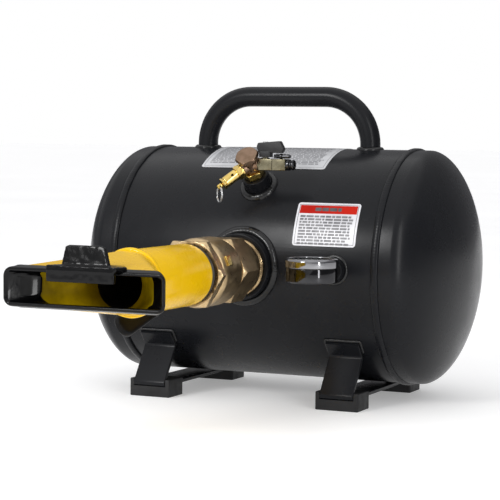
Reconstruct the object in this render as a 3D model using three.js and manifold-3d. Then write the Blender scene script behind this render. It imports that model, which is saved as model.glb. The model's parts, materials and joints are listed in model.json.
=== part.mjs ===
// A portable air receiver tank for seating tyre beads: a small welded steel tank on two
// strap feet, with a carrying handle, a large ball valve and a fan nozzle at the front,
// a pressure gauge, and a manifold that carries the relief valve and the filling valve.
//
// Millimetres, +Z up. The tank lies along X and the nozzle points along -Y.
// The model is drawn about the point on the floor under the middle of the tank, and the
// exported group is then moved along Y so that its origin is the middle of its footprint.

import * as THREE from 'three';
import { mergeVertices } from 'three/addons/utils/BufferGeometryUtils.js';
import { ConvexGeometry } from 'three/addons/geometries/ConvexGeometry.js';
import Module from 'manifold-3d';

const wasm = await Module();
wasm.setup();

// ---------------------------------------------------------------- driving dimensions

const gap = 0.3; // clearance between pieces that touch

const tank = { radius: 125, wall: 3, halfSeam: 149.5, height: 143.5, facets: 48 };
const head = { flange: 16, crown: 50, power: 1.76 };
const seamBead = { width: 8.5, height: 2.3 };

const handle = { halfSpan: 97, top: 325, radius: 11, wall: 2.2, bend: 52 };

// The feet sit forward of the tank's axis, because the valve and the nozzle hang in front.
const foot = { halfSpacing: 108, forward: 20, strapWidth: 37, strapThick: 4, reach: 99.5, base: 13.5 };
const cap = { width: 47.5, depth: 34, height: 19, front: 98.4 };

// The outlet runs straight out of the tank; "reach" is measured from the tank's axis.
const outlet = { x: 2, height: tank.height + 2, pipe: 30.15, bore: 20.5 };
const outletBung = { radius: 35, flare: 44, face: 137 };
const valve = { hex: 37.2, body: 35, back: 153, centre: 216, front: 251, ball: 27.5 };
const barrel = { radius: 30.6, wall: 4, start: 259.5, end: 374 };
const nozzle = { end: 461.5, halfWidth: 80, halfHeight: 16.8, corner: 7, wall: 3 };
const dip = { depth: 26, thick: 1.2 };
const hook = { halfBar: 33, drop: 11, rise: 17.5, thick: 7 };

// The outlet valve's lever stands on a stem that points down and to the left.
const lever = { stemAngle: 210, droop: 12, reach: 128, width: 20, thick: 3, stem: 5 };

const gauge = { x: 105.5, reach: 183, height: 146, radius: 26, bottom: 137.3, top: 161.5 };
const gaugeBung = { radius: 13, flare: 18, face: 136 };

// The manifold stands square to the tank wall, part of the way up its front.
const fittings = { x: 6, angle: 43.5, port: 158, base: 151.2, waist: 8.8, arm: 6.9 };
const fittingHead = { corner: 12.6, underside: 167, top: 172 };
const fittingBung = { radius: 14.5, flare: 24.5, face: 142 };
const relief = { turn: 53, radius: 6, hex: 8, length: 34 };
const pullRing = { radius: 8.2, wire: 0.8 };
const fill = { side: 12, start: 11.8, stem: 17.5, joint: 27, end: 42 };

const warningLabel = { left: 58, right: 127.5, low: 12, high: 33.5 };
const dataLabel = { left: -72, right: 72, low: 56, high: 104 };

// ---------------------------------------------------------------- materials

function finish(color, roughness, metalness) {
  return new THREE.MeshStandardMaterial({ color, roughness, metalness });
}

const blackPaint = () => finish('#1b1c1e', 0.35, 0.1);
const yellowPaint = () => finish('#f0cb05', 0.3, 0);
const brass = () => finish('#a8905a', 0.35, 1);
const brightBrass = () => finish('#d4ae4a', 0.25, 1);
const chrome = () => finish('#d9dde0', 0.12, 1);
const steel = () => finish('#9a9c9f', 0.35, 1);
const plastisol = () => finish('#0c0c0e', 0.25, 0);
const rubber = () => finish('#2a2b2c', 0.75, 0);
const blackPlastic = () => finish('#242527', 0.5, 0);
const seatPlastic = () => finish('#f2f2ee', 0.5, 0);
const clearGlass = () => finish('#e8f0f2', 0.05, 0);
const printedVinyl = () => finish('#e6e8ea', 0.45, 0);

// ---------------------------------------------------------------- geometry helpers

const rad = THREE.MathUtils.degToRad;
const xAxis = new THREE.Vector3(1, 0, 0);
const zAxis = new THREE.Vector3(0, 0, 1);
const forward = new THREE.Vector3(0, -1, 0);

// Six times the signed volume: negative when the faces point inward.
function signedVolume(geometry) {
  const points = geometry.attributes.position;
  const index = geometry.index.array;
  const [a, b, c] = [new THREE.Vector3(), new THREE.Vector3(), new THREE.Vector3()];
  let volume = 0;
  for (let i = 0; i < index.length; i += 3) {
    a.fromBufferAttribute(points, index[i]);
    b.fromBufferAttribute(points, index[i + 1]);
    c.fromBufferAttribute(points, index[i + 2]);
    volume += a.dot(b.cross(c));
  }
  return volume;
}

// One closed skin: shared corners, no collapsed triangles, faces outward.
function closed(geometry) {
  const bare = geometry.clone();
  bare.deleteAttribute('normal');
  bare.deleteAttribute('uv');
  const merged = mergeVertices(bare, 1e-4);
  const kept = [];
  const index = merged.index.array;
  for (let i = 0; i < index.length; i += 3) {
    const [a, b, c] = [index[i], index[i + 1], index[i + 2]];
    if (a !== b && b !== c && c !== a) kept.push(a, b, c);
  }
  merged.setIndex(kept);
  if (signedVolume(merged) < 0) {
    for (let i = 0; i < kept.length; i += 3) [kept[i], kept[i + 1]] = [kept[i + 1], kept[i]];
    merged.setIndex(kept);
  }
  return merged;
}

function solidOf(geometry) {
  const skin = closed(geometry);
  const vertProperties = new Float32Array(skin.attributes.position.array);
  const triVerts = new Uint32Array(skin.index.array);
  return new wasm.Manifold(new wasm.Mesh({ numProp: 3, vertProperties, triVerts }));
}

function geometryOf(solid) {
  const mesh = solid.getMesh();
  const geometry = new THREE.BufferGeometry();
  geometry.setAttribute('position', new THREE.BufferAttribute(mesh.vertProperties, 3));
  geometry.setIndex(new THREE.BufferAttribute(mesh.triVerts, 1));
  return geometry;
}

function join(first, ...others) {
  return geometryOf(others.reduce((sum, next) => sum.add(solidOf(next)), solidOf(first)));
}

function cut(first, ...others) {
  return geometryOf(others.reduce((rest, next) => rest.subtract(solidOf(next)), solidOf(first)));
}

// A turned solid about +Z from [radius, height] points.
function turned(profile, segments) {
  const points = profile.map(([radius, height]) => new THREE.Vector2(radius, height));
  return new THREE.LatheGeometry(points, segments).rotateX(Math.PI / 2);
}

function rod(radius, from, to, segments = 20) {
  return turned([[0, from], [radius, from], [radius, to], [0, to]], segments);
}

function pipe(outer, inner, from, to, segments = 24) {
  const profile = [[inner, from], [outer, from], [outer, to], [inner, to], [inner, from]];
  return turned(profile, segments);
}

// A hexagonal bar; "corner" is the radius to its corners.
function hexBar(corner, from, to) {
  return rod(corner, from, to, 6).rotateZ(Math.PI / 6);
}

function box(width, depth, height, x = 0, y = 0, z = 0) {
  return new THREE.BoxGeometry(width, depth, height).translate(x, y, z);
}

// An outline in the XY plane, made into a plate centred on z = 0.
function plate(shape, thickness, curveSegments = 8) {
  const settings = { depth: thickness, bevelEnabled: false, curveSegments };
  return new THREE.ExtrudeGeometry(shape, settings).translate(0, 0, -thickness / 2);
}

// Turns a shape drawn along +Z to lie along a direction, from a point.
function pointed(geometry, direction, from = new THREE.Vector3()) {
  const turn = new THREE.Quaternion().setFromUnitVectors(zAxis, direction);
  return geometry.applyQuaternion(turn).translate(from.x, from.y, from.z);
}

function tubeAlong(path, radius, sides, steps) {
  const circle = new THREE.Shape().absarc(0, 0, radius, 0, 2 * Math.PI);
  const settings = { extrudePath: path, steps, curveSegments: sides / 2, bevelEnabled: false };
  return new THREE.ExtrudeGeometry(circle, settings);
}

// The outline of a bent strip of metal: a line of corners, thickened on both sides.
function bentStrip(corners, thickness) {
  const sides = [[], []];
  corners.forEach((corner, i) => {
    const back = corner.clone().sub(corners[Math.max(i - 1, 0)]);
    const ahead = corners[Math.min(i + 1, corners.length - 1)].clone().sub(corner);
    if (i === 0) back.copy(ahead);
    if (i === corners.length - 1) ahead.copy(back);
    const mitre = back.normalize().clone().add(ahead.normalize()).normalize();
    const offset = thickness / 2 / mitre.dot(ahead);
    const normal = new THREE.Vector2(-mitre.y, mitre.x).multiplyScalar(offset);
    sides[0].push(corner.clone().add(normal));
    sides[1].unshift(corner.clone().sub(normal));
  });
  return new THREE.Shape([...sides[0], ...sides[1]]);
}

function roundedRectangle(halfWidth, halfHeight, radius) {
  const shape = new THREE.Shape();
  const [x, y] = [halfWidth - radius, halfHeight - radius];
  shape.absarc(x, y, radius, 0, Math.PI / 2);
  shape.absarc(-x, y, radius, Math.PI / 2, Math.PI);
  shape.absarc(-x, -y, radius, Math.PI, 1.5 * Math.PI);
  shape.absarc(x, -y, radius, 1.5 * Math.PI, 2 * Math.PI);
  return shape;
}

const assembly = new THREE.Group();

function add(parent, name, geometry, material) {
  const mesh = new THREE.Mesh(closed(geometry), material);
  mesh.name = name;
  parent.add(mesh);
  return mesh;
}

// ---------------------------------------------------------------- tank

const tankCentre = new THREE.Vector3(0, 0, tank.height);

// The tank's outside as a solid drum, with some clearance, for trimming what is welded on.
function tankDrum(clearance) {
  const length = tank.halfSeam + head.flange;
  return pointed(rod(tank.radius + clearance, -length, length, tank.facets), xAxis, tankCentre);
}

// Half of a superellipse from the flange to the middle of the crown, as [radius, height].
function crownCurve(radius, depth, start, count) {
  return Array.from({ length: count + 1 }, (_, i) => {
    const turn = (i / count) * Math.PI / 2;
    const out = depth * Math.sin(turn) ** (2 / head.power);
    return [i === count ? 0 : radius * Math.cos(turn) ** (2 / head.power), start + out];
  });
}

function headGeometry(side) {
  const edge = tank.halfSeam + 1;
  const start = tank.halfSeam + head.flange;
  const inside = tank.radius - tank.wall;
  const outer = crownCurve(tank.radius, head.crown, start, 7);
  const inner = crownCurve(inside, head.crown - tank.wall, start, 4).reverse();
  const profile = [...inner, [inside, edge], [tank.radius, edge], ...outer];
  return pointed(turned(profile, tank.facets), new THREE.Vector3(side, 0, 0), tankCentre);
}

function seamWeldGeometry(side) {
  const [low, high] = [tank.radius + gap, tank.radius + seamBead.height];
  const half = seamBead.width / 2;
  const profile = [[low, -half], [high, -half / 2], [high, half / 2], [low, half], [low, -half]];
  const centre = tankCentre.clone().setX(side * tank.halfSeam);
  return pointed(turned(profile, tank.facets), xAxis, centre);
}

const outletPoint = new THREE.Vector3(outlet.x, 0, outlet.height);
const gaugePoint = new THREE.Vector3(gauge.x, 0, gauge.height);
const fittingPoint = new THREE.Vector3(fittings.x, 0, tank.height);
const fittingDirection = new THREE.Vector3(
  0, -Math.cos(rad(fittings.angle)), Math.sin(rad(fittings.angle)));

// A bung and the hole it stands in have the same flats, so that the gap between them is even.
const bungSides = (bung) => (bung.radius > 20 ? 24 : 16);

function shellGeometry() {
  const length = tank.halfSeam - 1;
  const inside = tank.radius - tank.wall;
  const drum = pipe(tank.radius, inside, -length, length, tank.facets);
  const hole = (bung) => rod(
    bung.radius + gap, inside - 20, tank.radius + 20, bungSides(bung));
  return cut(
    pointed(drum, xAxis, tankCentre),
    pointed(hole(outletBung), forward, outletPoint),
    pointed(hole(gaugeBung), forward, gaugePoint),
    pointed(hole(fittingBung), fittingDirection, fittingPoint));
}

// A threaded socket let into the wall, with the weld fillet around it.
function bungGeometry(bung, bore, direction, point) {
  const inside = tank.radius - tank.wall - 8;
  const segments = bungSides(bung);
  const fillet = turned([[0, inside], [bung.flare + 2, inside], [bung.radius, bung.face - 3],
    [0, bung.face - 3]], segments);
  const collar = turned([[0, inside], [bung.radius, inside], [bung.radius, bung.face - 1],
    [bung.radius - 1, bung.face], [0, bung.face]], segments);
  const flare = cut(pointed(fillet, direction, point), tankDrum(gap));
  const body = join(flare, pointed(collar, direction, point));
  return cut(body, pointed(rod(bore, inside - 5, bung.face + 5, segments), direction, point));
}

function handleGeometry() {
  const { halfSpan: x, top, bend } = handle;
  const base = tank.height + tank.radius - 6; // the legs start inside the tank's outline
  const at = (across, height) => new THREE.Vector2(across, height);
  const flat = new THREE.CurvePath();
  flat.add(new THREE.LineCurve(at(-x, base), at(-x, top - bend)));
  flat.add(new THREE.EllipseCurve(bend - x, top - bend, bend, bend, Math.PI, Math.PI / 2, true));
  flat.add(new THREE.LineCurve(at(bend - x, top), at(x - bend, top)));
  flat.add(new THREE.EllipseCurve(x - bend, top - bend, bend, bend, Math.PI / 2, 0, true));
  flat.add(new THREE.LineCurve(at(x, top - bend), at(x, base)));
  const inSpace = new THREE.CatmullRomCurve3(
    flat.getSpacedPoints(30).map((p) => new THREE.Vector3(p.x, 0, p.y)));
  const outer = tubeAlong(inSpace, handle.radius, 12, 24);
  const bore = tubeAlong(inSpace, handle.radius - handle.wall, 6, 24);
  return cut(outer, bore, tankDrum(gap));
}

function curvedLabel({ left, right, low, high }) {
  const shape = new THREE.Shape();
  const inner = tank.radius + gap;
  shape.absarc(0, 0, inner + 0.5, rad(low), rad(high), false);
  shape.absarc(0, 0, inner, rad(high), rad(low), true);
  const sheet = plate(shape, right - left, 12);
  // The outline's X becomes -Y and its Y becomes +Z, so that the sheet runs along X.
  const frame = new THREE.Matrix4().makeBasis(
    forward, zAxis, new THREE.Vector3(-1, 0, 0));
  return sheet.applyMatrix4(frame).translate((left + right) / 2, 0, tank.height);
}

function buildTank() {
  add(assembly, 'tank_shell', shellGeometry(), blackPaint());
  add(assembly, 'tank_head_left', headGeometry(-1), blackPaint());
  add(assembly, 'tank_head_right', headGeometry(1), blackPaint());
  add(assembly, 'seam_weld_left', seamWeldGeometry(-1), blackPaint());
  add(assembly, 'seam_weld_right', seamWeldGeometry(1), blackPaint());
  add(assembly, 'carry_handle', handleGeometry(), blackPaint());
  add(assembly, 'outlet_bung',
    bungGeometry(outletBung, outlet.pipe + gap, forward, outletPoint), blackPaint());
  add(assembly, 'gauge_bung',
    bungGeometry(gaugeBung, 6.8, forward, gaugePoint), blackPaint());
  add(assembly, 'fitting_bung',
    bungGeometry(fittingBung, 8.8, fittingDirection, fittingPoint), blackPaint());
  add(assembly, 'warning_label', curvedLabel(warningLabel), printedVinyl());
  add(assembly, 'data_label', curvedLabel(dataLabel), printedVinyl());
}

// ---------------------------------------------------------------- feet

// The strap's line in the YZ plane: a tab against the tank, a leg, the base, and back up.
function strapCorners() {
  const radius = tank.radius + foot.strapThick / 2 + 0.8;
  const onTank = (angle) => new THREE.Vector2(
    -radius * Math.cos(rad(angle)), tank.height - radius * Math.sin(rad(angle)));
  const tab = [onTank(36), onTank(44.5)];
  const rearTab = tab.map((corner) => new THREE.Vector2(-corner.x, corner.y)).reverse();
  const baseFront = new THREE.Vector2(-foot.forward - foot.reach, foot.base);
  const baseRear = new THREE.Vector2(-foot.forward + foot.reach, foot.base);
  return [...tab, baseFront, baseRear, ...rearTab];
}

// Extrudes an outline of the YZ plane along X, centred on x.
function acrossX(shape, width, x) {
  const yzPlane = new THREE.Matrix4().makeBasis(new THREE.Vector3(0, 1, 0), zAxis, xAxis);
  return plate(shape, width).applyMatrix4(yzPlane).translate(x, 0, 0);
}

function footCapGeometry(x, side) {
  const middle = side * (cap.front - cap.depth / 2) - foot.forward;
  const block = box(cap.width, cap.depth, cap.height, x, middle, cap.height / 2);
  const room = acrossX(
    bentStrip(strapCorners(), foot.strapThick + 2 * gap), foot.strapWidth + 2 * gap, x);
  const notchFloor = foot.base - foot.strapThick / 2 - gap;
  const notch = box(foot.strapWidth + 2 * gap, 10, 20,
    x, side * foot.reach - foot.forward, notchFloor + 10);
  return cut(block, room, notch);
}

function buildFeet() {
  const sides = { left: -foot.halfSpacing, right: foot.halfSpacing };
  for (const [name, x] of Object.entries(sides)) {
    const strap = acrossX(bentStrip(strapCorners(), foot.strapThick), foot.strapWidth, x);
    add(assembly, `foot_strap_${name}`, strap, blackPaint());
    add(assembly, `foot_cap_front_${name}`, footCapGeometry(x, -1), rubber());
    add(assembly, `foot_cap_rear_${name}`, footCapGeometry(x, 1), rubber());
  }
}

// ---------------------------------------------------------------- outlet valve

const stemTurn = rad(lever.stemAngle);
const stemDirection = new THREE.Vector3(Math.cos(stemTurn), 0, Math.sin(stemTurn));
const ballCentre = new THREE.Vector3(outlet.x, -valve.centre, outlet.height);
const ballDrawn = (geometry) => pointed(geometry, forward, ballCentre);
const seatBack = 20.3; // from the ball's centre to the back of each seat

function valveBodyGeometry() {
  const { back, centre, body, hex } = valve;
  const rearHexEnd = 194 - centre;
  const boss = rod(32, back - centre, rearHexEnd, 24);
  const rearHex = hexBar(hex, 160 - centre, rearHexEnd);
  const drum = turned([[0, rearHexEnd - 6], [body - 3, rearHexEnd - 2], [body, rearHexEnd + 5],
    [body, 19], [body - 2, 24], [0, 24]], 24);
  const stemBoss = rod(11.5, 20, 41, 16);
  const outside = join(ballDrawn(boss), ballDrawn(rearHex), ballDrawn(drum),
    pointed(stemBoss, stemDirection, ballCentre));
  return cut(outside,
    ballDrawn(rod(outlet.pipe + gap, back - centre - 1, back - centre + 20, 24)),
    ballDrawn(rod(outlet.bore, back - centre, 0, 16)),
    ballDrawn(rod(valve.ball + 1.5, -seatBack - gap, 30, 16)),
    pointed(rod(lever.stem + gap, 10, 50, 12), stemDirection, ballCentre));
}

function valveEndCapGeometry() {
  const front = valve.front - valve.centre;
  const spigot = rod(valve.ball + 1.2, seatBack + gap, 24 + gap, 16);
  const hex = hexBar(valve.hex, 24 + gap, front);
  return cut(join(ballDrawn(spigot), ballDrawn(hex)),
    ballDrawn(rod(outlet.bore, 0, front + 5)),
    ballDrawn(rod(barrel.radius - 1.8, 25.5, front + 5, 24)));
}

function seatGeometry(side) {
  const inner = outlet.bore;
  const profile = [[inner, 19], [24, 14.4], [28.3, 14.4], [28.3, seatBack], [inner, seatBack],
    [inner, 19]];
  const ring = turned(profile, 16);
  if (side < 0) ring.rotateX(Math.PI);
  return ballDrawn(ring);
}

// Drawn in the lever's frame, with the bore in line with the barrel.
function ballGeometry(frame) {
  const flow = forward.clone().applyQuaternion(frame.quaternion.clone().invert());
  const sphere = new THREE.SphereGeometry(valve.ball, 16, 8);
  const bore = pointed(rod(outlet.bore - 0.5, -40, 40, 16), flow);
  const slot = box(22, 5.6, 10, 0, 0, valve.ball);
  return cut(sphere, bore, slot);
}

function stemGeometry() {
  const tongue = box(8, 5, 5.4, 0, 0, valve.ball - 1.8);
  return join(rod(lever.stem, valve.ball + gap, 54.5, 12), tongue);
}

// The lever's own frame: X along the lever, Z out along the stem, origin at the ball.
function leverFrame() {
  const sideways = new THREE.Vector3().crossVectors(stemDirection, forward).negate();
  const along = forward.clone().multiplyScalar(Math.cos(rad(lever.droop)))
    .addScaledVector(sideways, Math.sin(rad(lever.droop)));
  const across = new THREE.Vector3().crossVectors(stemDirection, along);
  const group = new THREE.Group();
  const basis = new THREE.Matrix4().makeBasis(along, across, stemDirection);
  group.quaternion.setFromRotationMatrix(basis);
  group.position.copy(ballCentre);
  assembly.add(group);
  return group;
}

// A strip with a round end, from x = start to x = end.
function roundEnded(start, end, width) {
  const half = width / 2;
  const shape = new THREE.Shape();
  shape.moveTo(start, -half);
  shape.lineTo(end - half, -half);
  shape.absarc(end - half, 0, half, -Math.PI / 2, Math.PI / 2, false);
  shape.lineTo(start, half);
  shape.closePath();
  return shape;
}

function buildOutletValve() {
  const nipple = pipe(outlet.pipe, outlet.pipe - 4, 118, valve.back + 18);
  add(assembly, 'outlet_nipple', pointed(nipple, forward, outletPoint), brass());
  add(assembly, 'valve_body', valveBodyGeometry(), brass());
  add(assembly, 'valve_end_cap', valveEndCapGeometry(), brass());
  add(assembly, 'valve_seat_inner', seatGeometry(-1), seatPlastic());
  add(assembly, 'valve_seat_outer', seatGeometry(1), seatPlastic());
  const gland = cut(hexBar(10.5, 41 + gap, 45.3), rod(lever.stem + gap, 40, 50, 12));
  add(assembly, 'valve_gland_nut', pointed(gland, stemDirection, ballCentre), brass());

  const moving = leverFrame();
  add(moving, 'valve_ball', ballGeometry(moving), chrome());
  add(moving, 'valve_stem', stemGeometry(), brass());
  const bottom = 45.3 + gap;
  const middle = bottom + lever.thick / 2;
  const grip = { start: 44, width: 24, thick: 9 };
  const strap = cut(
    plate(roundEnded(-12, lever.reach - 4, lever.width), lever.thick).translate(0, 0, middle),
    rod(lever.stem + gap, 40, 60, 12));
  add(moving, 'valve_lever', strap, steel());
  const nut = cut(hexBar(9.5, bottom + lever.thick + gap, 53.5), rod(lever.stem + gap, 40, 60, 12));
  add(moving, 'lever_nut', nut, steel());
  const room = plate(roundEnded(0, lever.reach - 4 + gap, lever.width + 2 * gap),
    lever.thick + 2 * gap);
  const sleeve = plate(roundEnded(grip.start, lever.reach, grip.width), grip.thick);
  add(moving, 'lever_sleeve', cut(sleeve, room).translate(0, 0, middle), plastisol());
}

// ---------------------------------------------------------------- barrel and nozzle

// A circle at one end and a rounded slot at the other, joined by straight lines.
function flattenedPipe(radius, from, halfWidth, halfHeight, corner, to) {
  const points = [];
  for (let i = 0; i < 24; i += 1) {
    const turn = (i / 24) * 2 * Math.PI;
    points.push(new THREE.Vector3(radius * Math.cos(turn), -from, radius * Math.sin(turn)));
  }
  for (const p of roundedRectangle(halfWidth, halfHeight, corner).extractPoints(3).shape) {
    points.push(new THREE.Vector3(p.x, -to, p.y));
  }
  return new ConvexGeometry(points).translate(outlet.x, 0, outlet.height);
}

// The nozzle's solid form, grown outward by an amount (inward when negative).
function nozzleForm(grow, past) {
  const { end, halfWidth, halfHeight, corner } = nozzle;
  const start = barrel.end + gap;
  return flattenedPipe(barrel.radius + grow, start - past,
    halfWidth + grow, halfHeight + grow, Math.max(corner + grow, 2), end + past);
}

function rimDipGeometry() {
  const { thick, depth } = dip;
  const skin = thick + gap;
  const reach = nozzle.end + skin;
  const slab = box(220, depth + skin, 80, outlet.x, (depth + skin) / 2 - reach, outlet.height);
  const outer = geometryOf(solidOf(nozzleForm(skin, skin)).intersect(solidOf(slab)));
  const wallRoom = cut(nozzleForm(gap, gap), nozzleForm(-nozzle.wall - gap, 2));
  const inside = nozzleForm(-nozzle.wall - skin, 4);
  return cut(outer, wallRoom, inside);
}

function hookGeometry() {
  const clear = dip.thick + 2 * gap;
  const lipBack = -(nozzle.end + clear);
  const top = outlet.height + nozzle.halfHeight + clear;
  const { halfBar, drop, rise, thick } = hook;
  const bar = box(2 * halfBar, thick, drop + 4, outlet.x, lipBack - thick / 2, top + 2 - drop / 2);
  const seat = box(48, 26, 4, outlet.x + 4, lipBack + 26 / 2 - thick / 2, top + 2);
  const outline = new THREE.Shape([
    new THREE.Vector2(-20, 0), new THREE.Vector2(28, 0),
    new THREE.Vector2(22, rise), new THREE.Vector2(-17, rise)]);
  const tab = plate(outline, thick - 1).rotateX(Math.PI / 2).rotateX(-rad(12));
  tab.translate(outlet.x, lipBack - thick / 2 + 1, top);
  return cut(join(bar, seat, tab), nozzleForm(clear, clear));
}

function buildBarrel() {
  const { radius, wall, start, end } = barrel;
  const bore = radius - wall;
  const thread = radius - 2.2;
  const tube = turned([[bore, valve.front - 9], [thread, valve.front - 9], [thread, start],
    [radius - 0.8, start], [radius, start + 0.8], [radius, end], [bore, end],
    [bore, valve.front - 9]], 24);
  add(assembly, 'barrel_tube', pointed(tube, forward, outletPoint), yellowPaint());
  const [low, high] = [radius + gap, radius + 2.3];
  const bead = turned([[low, end - 4], [high, end - 3], [high, end - 1], [low, end],
    [low, end - 4]], 24);
  add(assembly, 'nozzle_weld_ring', pointed(bead, forward, outletPoint), yellowPaint());
  const fan = cut(nozzleForm(0, 0), nozzleForm(-nozzle.wall, 1));
  add(assembly, 'nozzle_fan', fan, yellowPaint());
  add(assembly, 'nozzle_rim_dip', rimDipGeometry(), plastisol());
  add(assembly, 'rim_hook', hookGeometry(), plastisol());
}

// ---------------------------------------------------------------- pressure gauge

// Faces up; drawn about the middle of its case on the floor plane.
function needleGeometry() {
  const outline = new THREE.Shape([
    new THREE.Vector2(-6, -1.1), new THREE.Vector2(0, -1.3), new THREE.Vector2(18.5, 0),
    new THREE.Vector2(0, 1.3), new THREE.Vector2(-6, 1.1)]);
  const pointer = plate(outline, 0.8).rotateZ(rad(225)).translate(0, 0, 155.6);
  return join(pointer, rod(2.4, 154.9, 156.6, 10), rod(1.1, 148, 155.4, 8));
}

function bourdonGeometry() {
  const arc = new THREE.EllipseCurve(0, 0, 17, 17, rad(80), rad(-170), true);
  const points = arc.getPoints(16).map((p) => new THREE.Vector3(p.x, p.y, 145));
  return tubeAlong(new THREE.CatmullRomCurve3(points), 1.8, 6, 12);
}

function buildGauge() {
  const group = new THREE.Group();
  group.position.set(gauge.x, -gauge.reach, 0);
  assembly.add(group);
  const { radius, bottom, top } = gauge;
  const split = 152;
  const cup = turned([[0, bottom], [radius - 1, bottom], [radius, bottom + 1], [radius, split],
    [radius - 1.5, split], [radius - 1.5, bottom + 1.5], [0, bottom + 1.5]], 24);
  const socket = pointed(rod(5.3, 15, 40, 16), new THREE.Vector3(0, 1, 0),
    new THREE.Vector3(0, 0, gauge.height));
  add(group, 'gauge_case', cut(cup, socket), chrome());
  const bezel = turned([[22.5, top], [22.5, top - 1.4], [24.8, top - 1.4], [24.8, split + gap],
    [radius + 0.8, split + gap], [radius + 0.8, top - 1.5], [radius - 1, top], [22.5, top]], 24);
  add(group, 'gauge_bezel', bezel, chrome());
  add(group, 'gauge_lens', rod(24.3, top - 3.3, top - 1.7), clearGlass());
  const dial = cut(rod(24.2, split + 1, split + 1.8), rod(1.5, 150, 156, 8));
  add(group, 'gauge_dial', dial, finish('#f4f4f0', 0.5, 0));
  add(group, 'gauge_needle', needleGeometry(), finish('#111111', 0.5, 0));
  add(group, 'gauge_bourdon_tube', bourdonGeometry(), brass());
  const length = gauge.reach - tank.radius;
  const pipeStem = cut(
    join(rod(5, 19, length + 4, 12), hexBar(8.2, 28.5, length - 12)), rod(1.8, 10, 80, 8));
  add(group, 'gauge_stem', pointed(pipeStem, new THREE.Vector3(0, 1, 0),
    new THREE.Vector3(0, 0, gauge.height)), brightBrass());
}

// ---------------------------------------------------------------- manifold and valves

// The manifold's frame: Z square out of the tank wall, X along the tank.
function manifoldFrame() {
  const group = new THREE.Group();
  group.position.copy(fittingPoint);
  group.rotation.x = rad(90 - fittings.angle);
  assembly.add(group);
  return group;
}

const reliefTurn = rad(180 + relief.turn);
const reliefDirection = new THREE.Vector3(Math.cos(reliefTurn), Math.sin(reliefTurn), 0);
const portCentre = new THREE.Vector3(0, 0, fittings.port);

function buildManifold() {
  const frame = manifoldFrame();
  const flatsAcross = (bar) => bar.rotateZ(Math.PI / 6); // turns two flats to face along X
  const socket = fittingBung.face;
  const hex = flatsAcross(hexBar(12.2, socket + gap, fittings.base - 0.4));
  const nipple = cut(
    join(rod(8.5, 126, socket + 1, 14), hex, rod(6.5, socket, fittings.port - 2, 14)),
    rod(3.5, 110, fittings.port, 10));
  add(frame, 'manifold_nipple', nipple, brightBrass());

  // A forged cross: a round waist with an arm to each valve, closed on top by a hex plug.
  const arm = (direction) => pointed(rod(fittings.arm, 0, 10.5, 14), direction, portCentre);
  const port = (direction) => pointed(rod(5.8, 3, 20, 12), direction, portCentre);
  const { corner, underside, top } = fittingHead;
  const cross = join(
    rod(fittings.waist, fittings.base, underside + 1, 16),
    flatsAcross(hexBar(corner, underside, top)),
    arm(xAxis), arm(reliefDirection));
  add(frame, 'manifold_body', cut(
    cross, rod(6.8, 135, 165, 12), port(xAxis), port(reliefDirection)), brass());
  buildReliefValve(frame);
}

// Drawn along +Z from the manifold's middle.
function reliefFrame(parent) {
  const group = new THREE.Group();
  group.quaternion.setFromUnitVectors(zAxis, reliefDirection);
  group.position.copy(portCentre);
  parent.add(group);
  return group;
}

class Helix extends THREE.Curve {
  constructor(radius, from, to, turns) {
    super();
    Object.assign(this, { radius, from, to, turns });
  }

  getPoint(t, target = new THREE.Vector3()) {
    const turn = 2 * Math.PI * this.turns * t;
    return target.set(this.radius * Math.cos(turn), this.radius * Math.sin(turn),
      this.from + (this.to - this.from) * t);
  }
}

function buildReliefValve(parent) {
  const frame = reliefFrame(parent);
  const { radius, hex, length } = relief;
  const body = join(rod(5.5, 8.5, 14, 12), hexBar(hex, 12.5, 18), rod(radius, 17, length, 14));
  const vent = pointed(rod(1.5, 0, 12, 8), xAxis, new THREE.Vector3(0, 0, 23));
  add(frame, 'relief_body',
    cut(body, rod(2.2, 0, 30, 8), rod(4.7, 19, 50, 12), vent), brightBrass());
  const plug = cut(join(rod(4.3, 31, 35, 14), hexBar(6.4, length + gap, 36.6)), rod(2, 20, 50, 10));
  add(frame, 'relief_cap', plug, brightBrass());
  add(frame, 'relief_seal', rod(4, 19.3, 20.6, 10), rubber());
  const eye = new THREE.Vector3(0, 0, 40.5);
  const shank = join(rod(4.2, 20.9, 22.2, 12), rod(1.6, 21.5, 38, 10), rod(2.6, 37.5, 43, 10));
  const pull = cut(shank, pointed(rod(1.5, -5, 5, 10), ringAxisIn(frame), eye));
  add(frame, 'relief_stem', pull, brightBrass());
  add(frame, 'relief_spring', tubeAlong(new Helix(3.1, 23, 30.2, 3), 0.4, 4, 26), steel());
  buildPullRing(frame, eye);
}

// The level direction square to the relief valve, seen from the valve's own frame.
function ringAxisIn(frame) {
  assembly.updateMatrixWorld(true);
  const turn = frame.getWorldQuaternion(new THREE.Quaternion());
  const outward = zAxis.clone().applyQuaternion(turn);
  return new THREE.Vector3().crossVectors(outward, zAxis).normalize()
    .applyQuaternion(turn.clone().invert());
}

// The split ring hangs straight down from the eye of the relief valve's stem.
function buildPullRing(frame, eye) {
  const axis = ringAxisIn(frame);
  const turn = frame.getWorldQuaternion(new THREE.Quaternion());
  const worldAxis = axis.clone().applyQuaternion(turn);
  const centre = frame.localToWorld(eye.clone()).addScaledVector(zAxis, -pullRing.radius);
  const normal = new THREE.Vector3().crossVectors(worldAxis, zAxis);
  const ring = new THREE.TorusGeometry(pullRing.radius, pullRing.wire, 6, 20);
  add(assembly, 'pull_ring', pointed(ring, normal, centre), steel());
}

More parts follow.
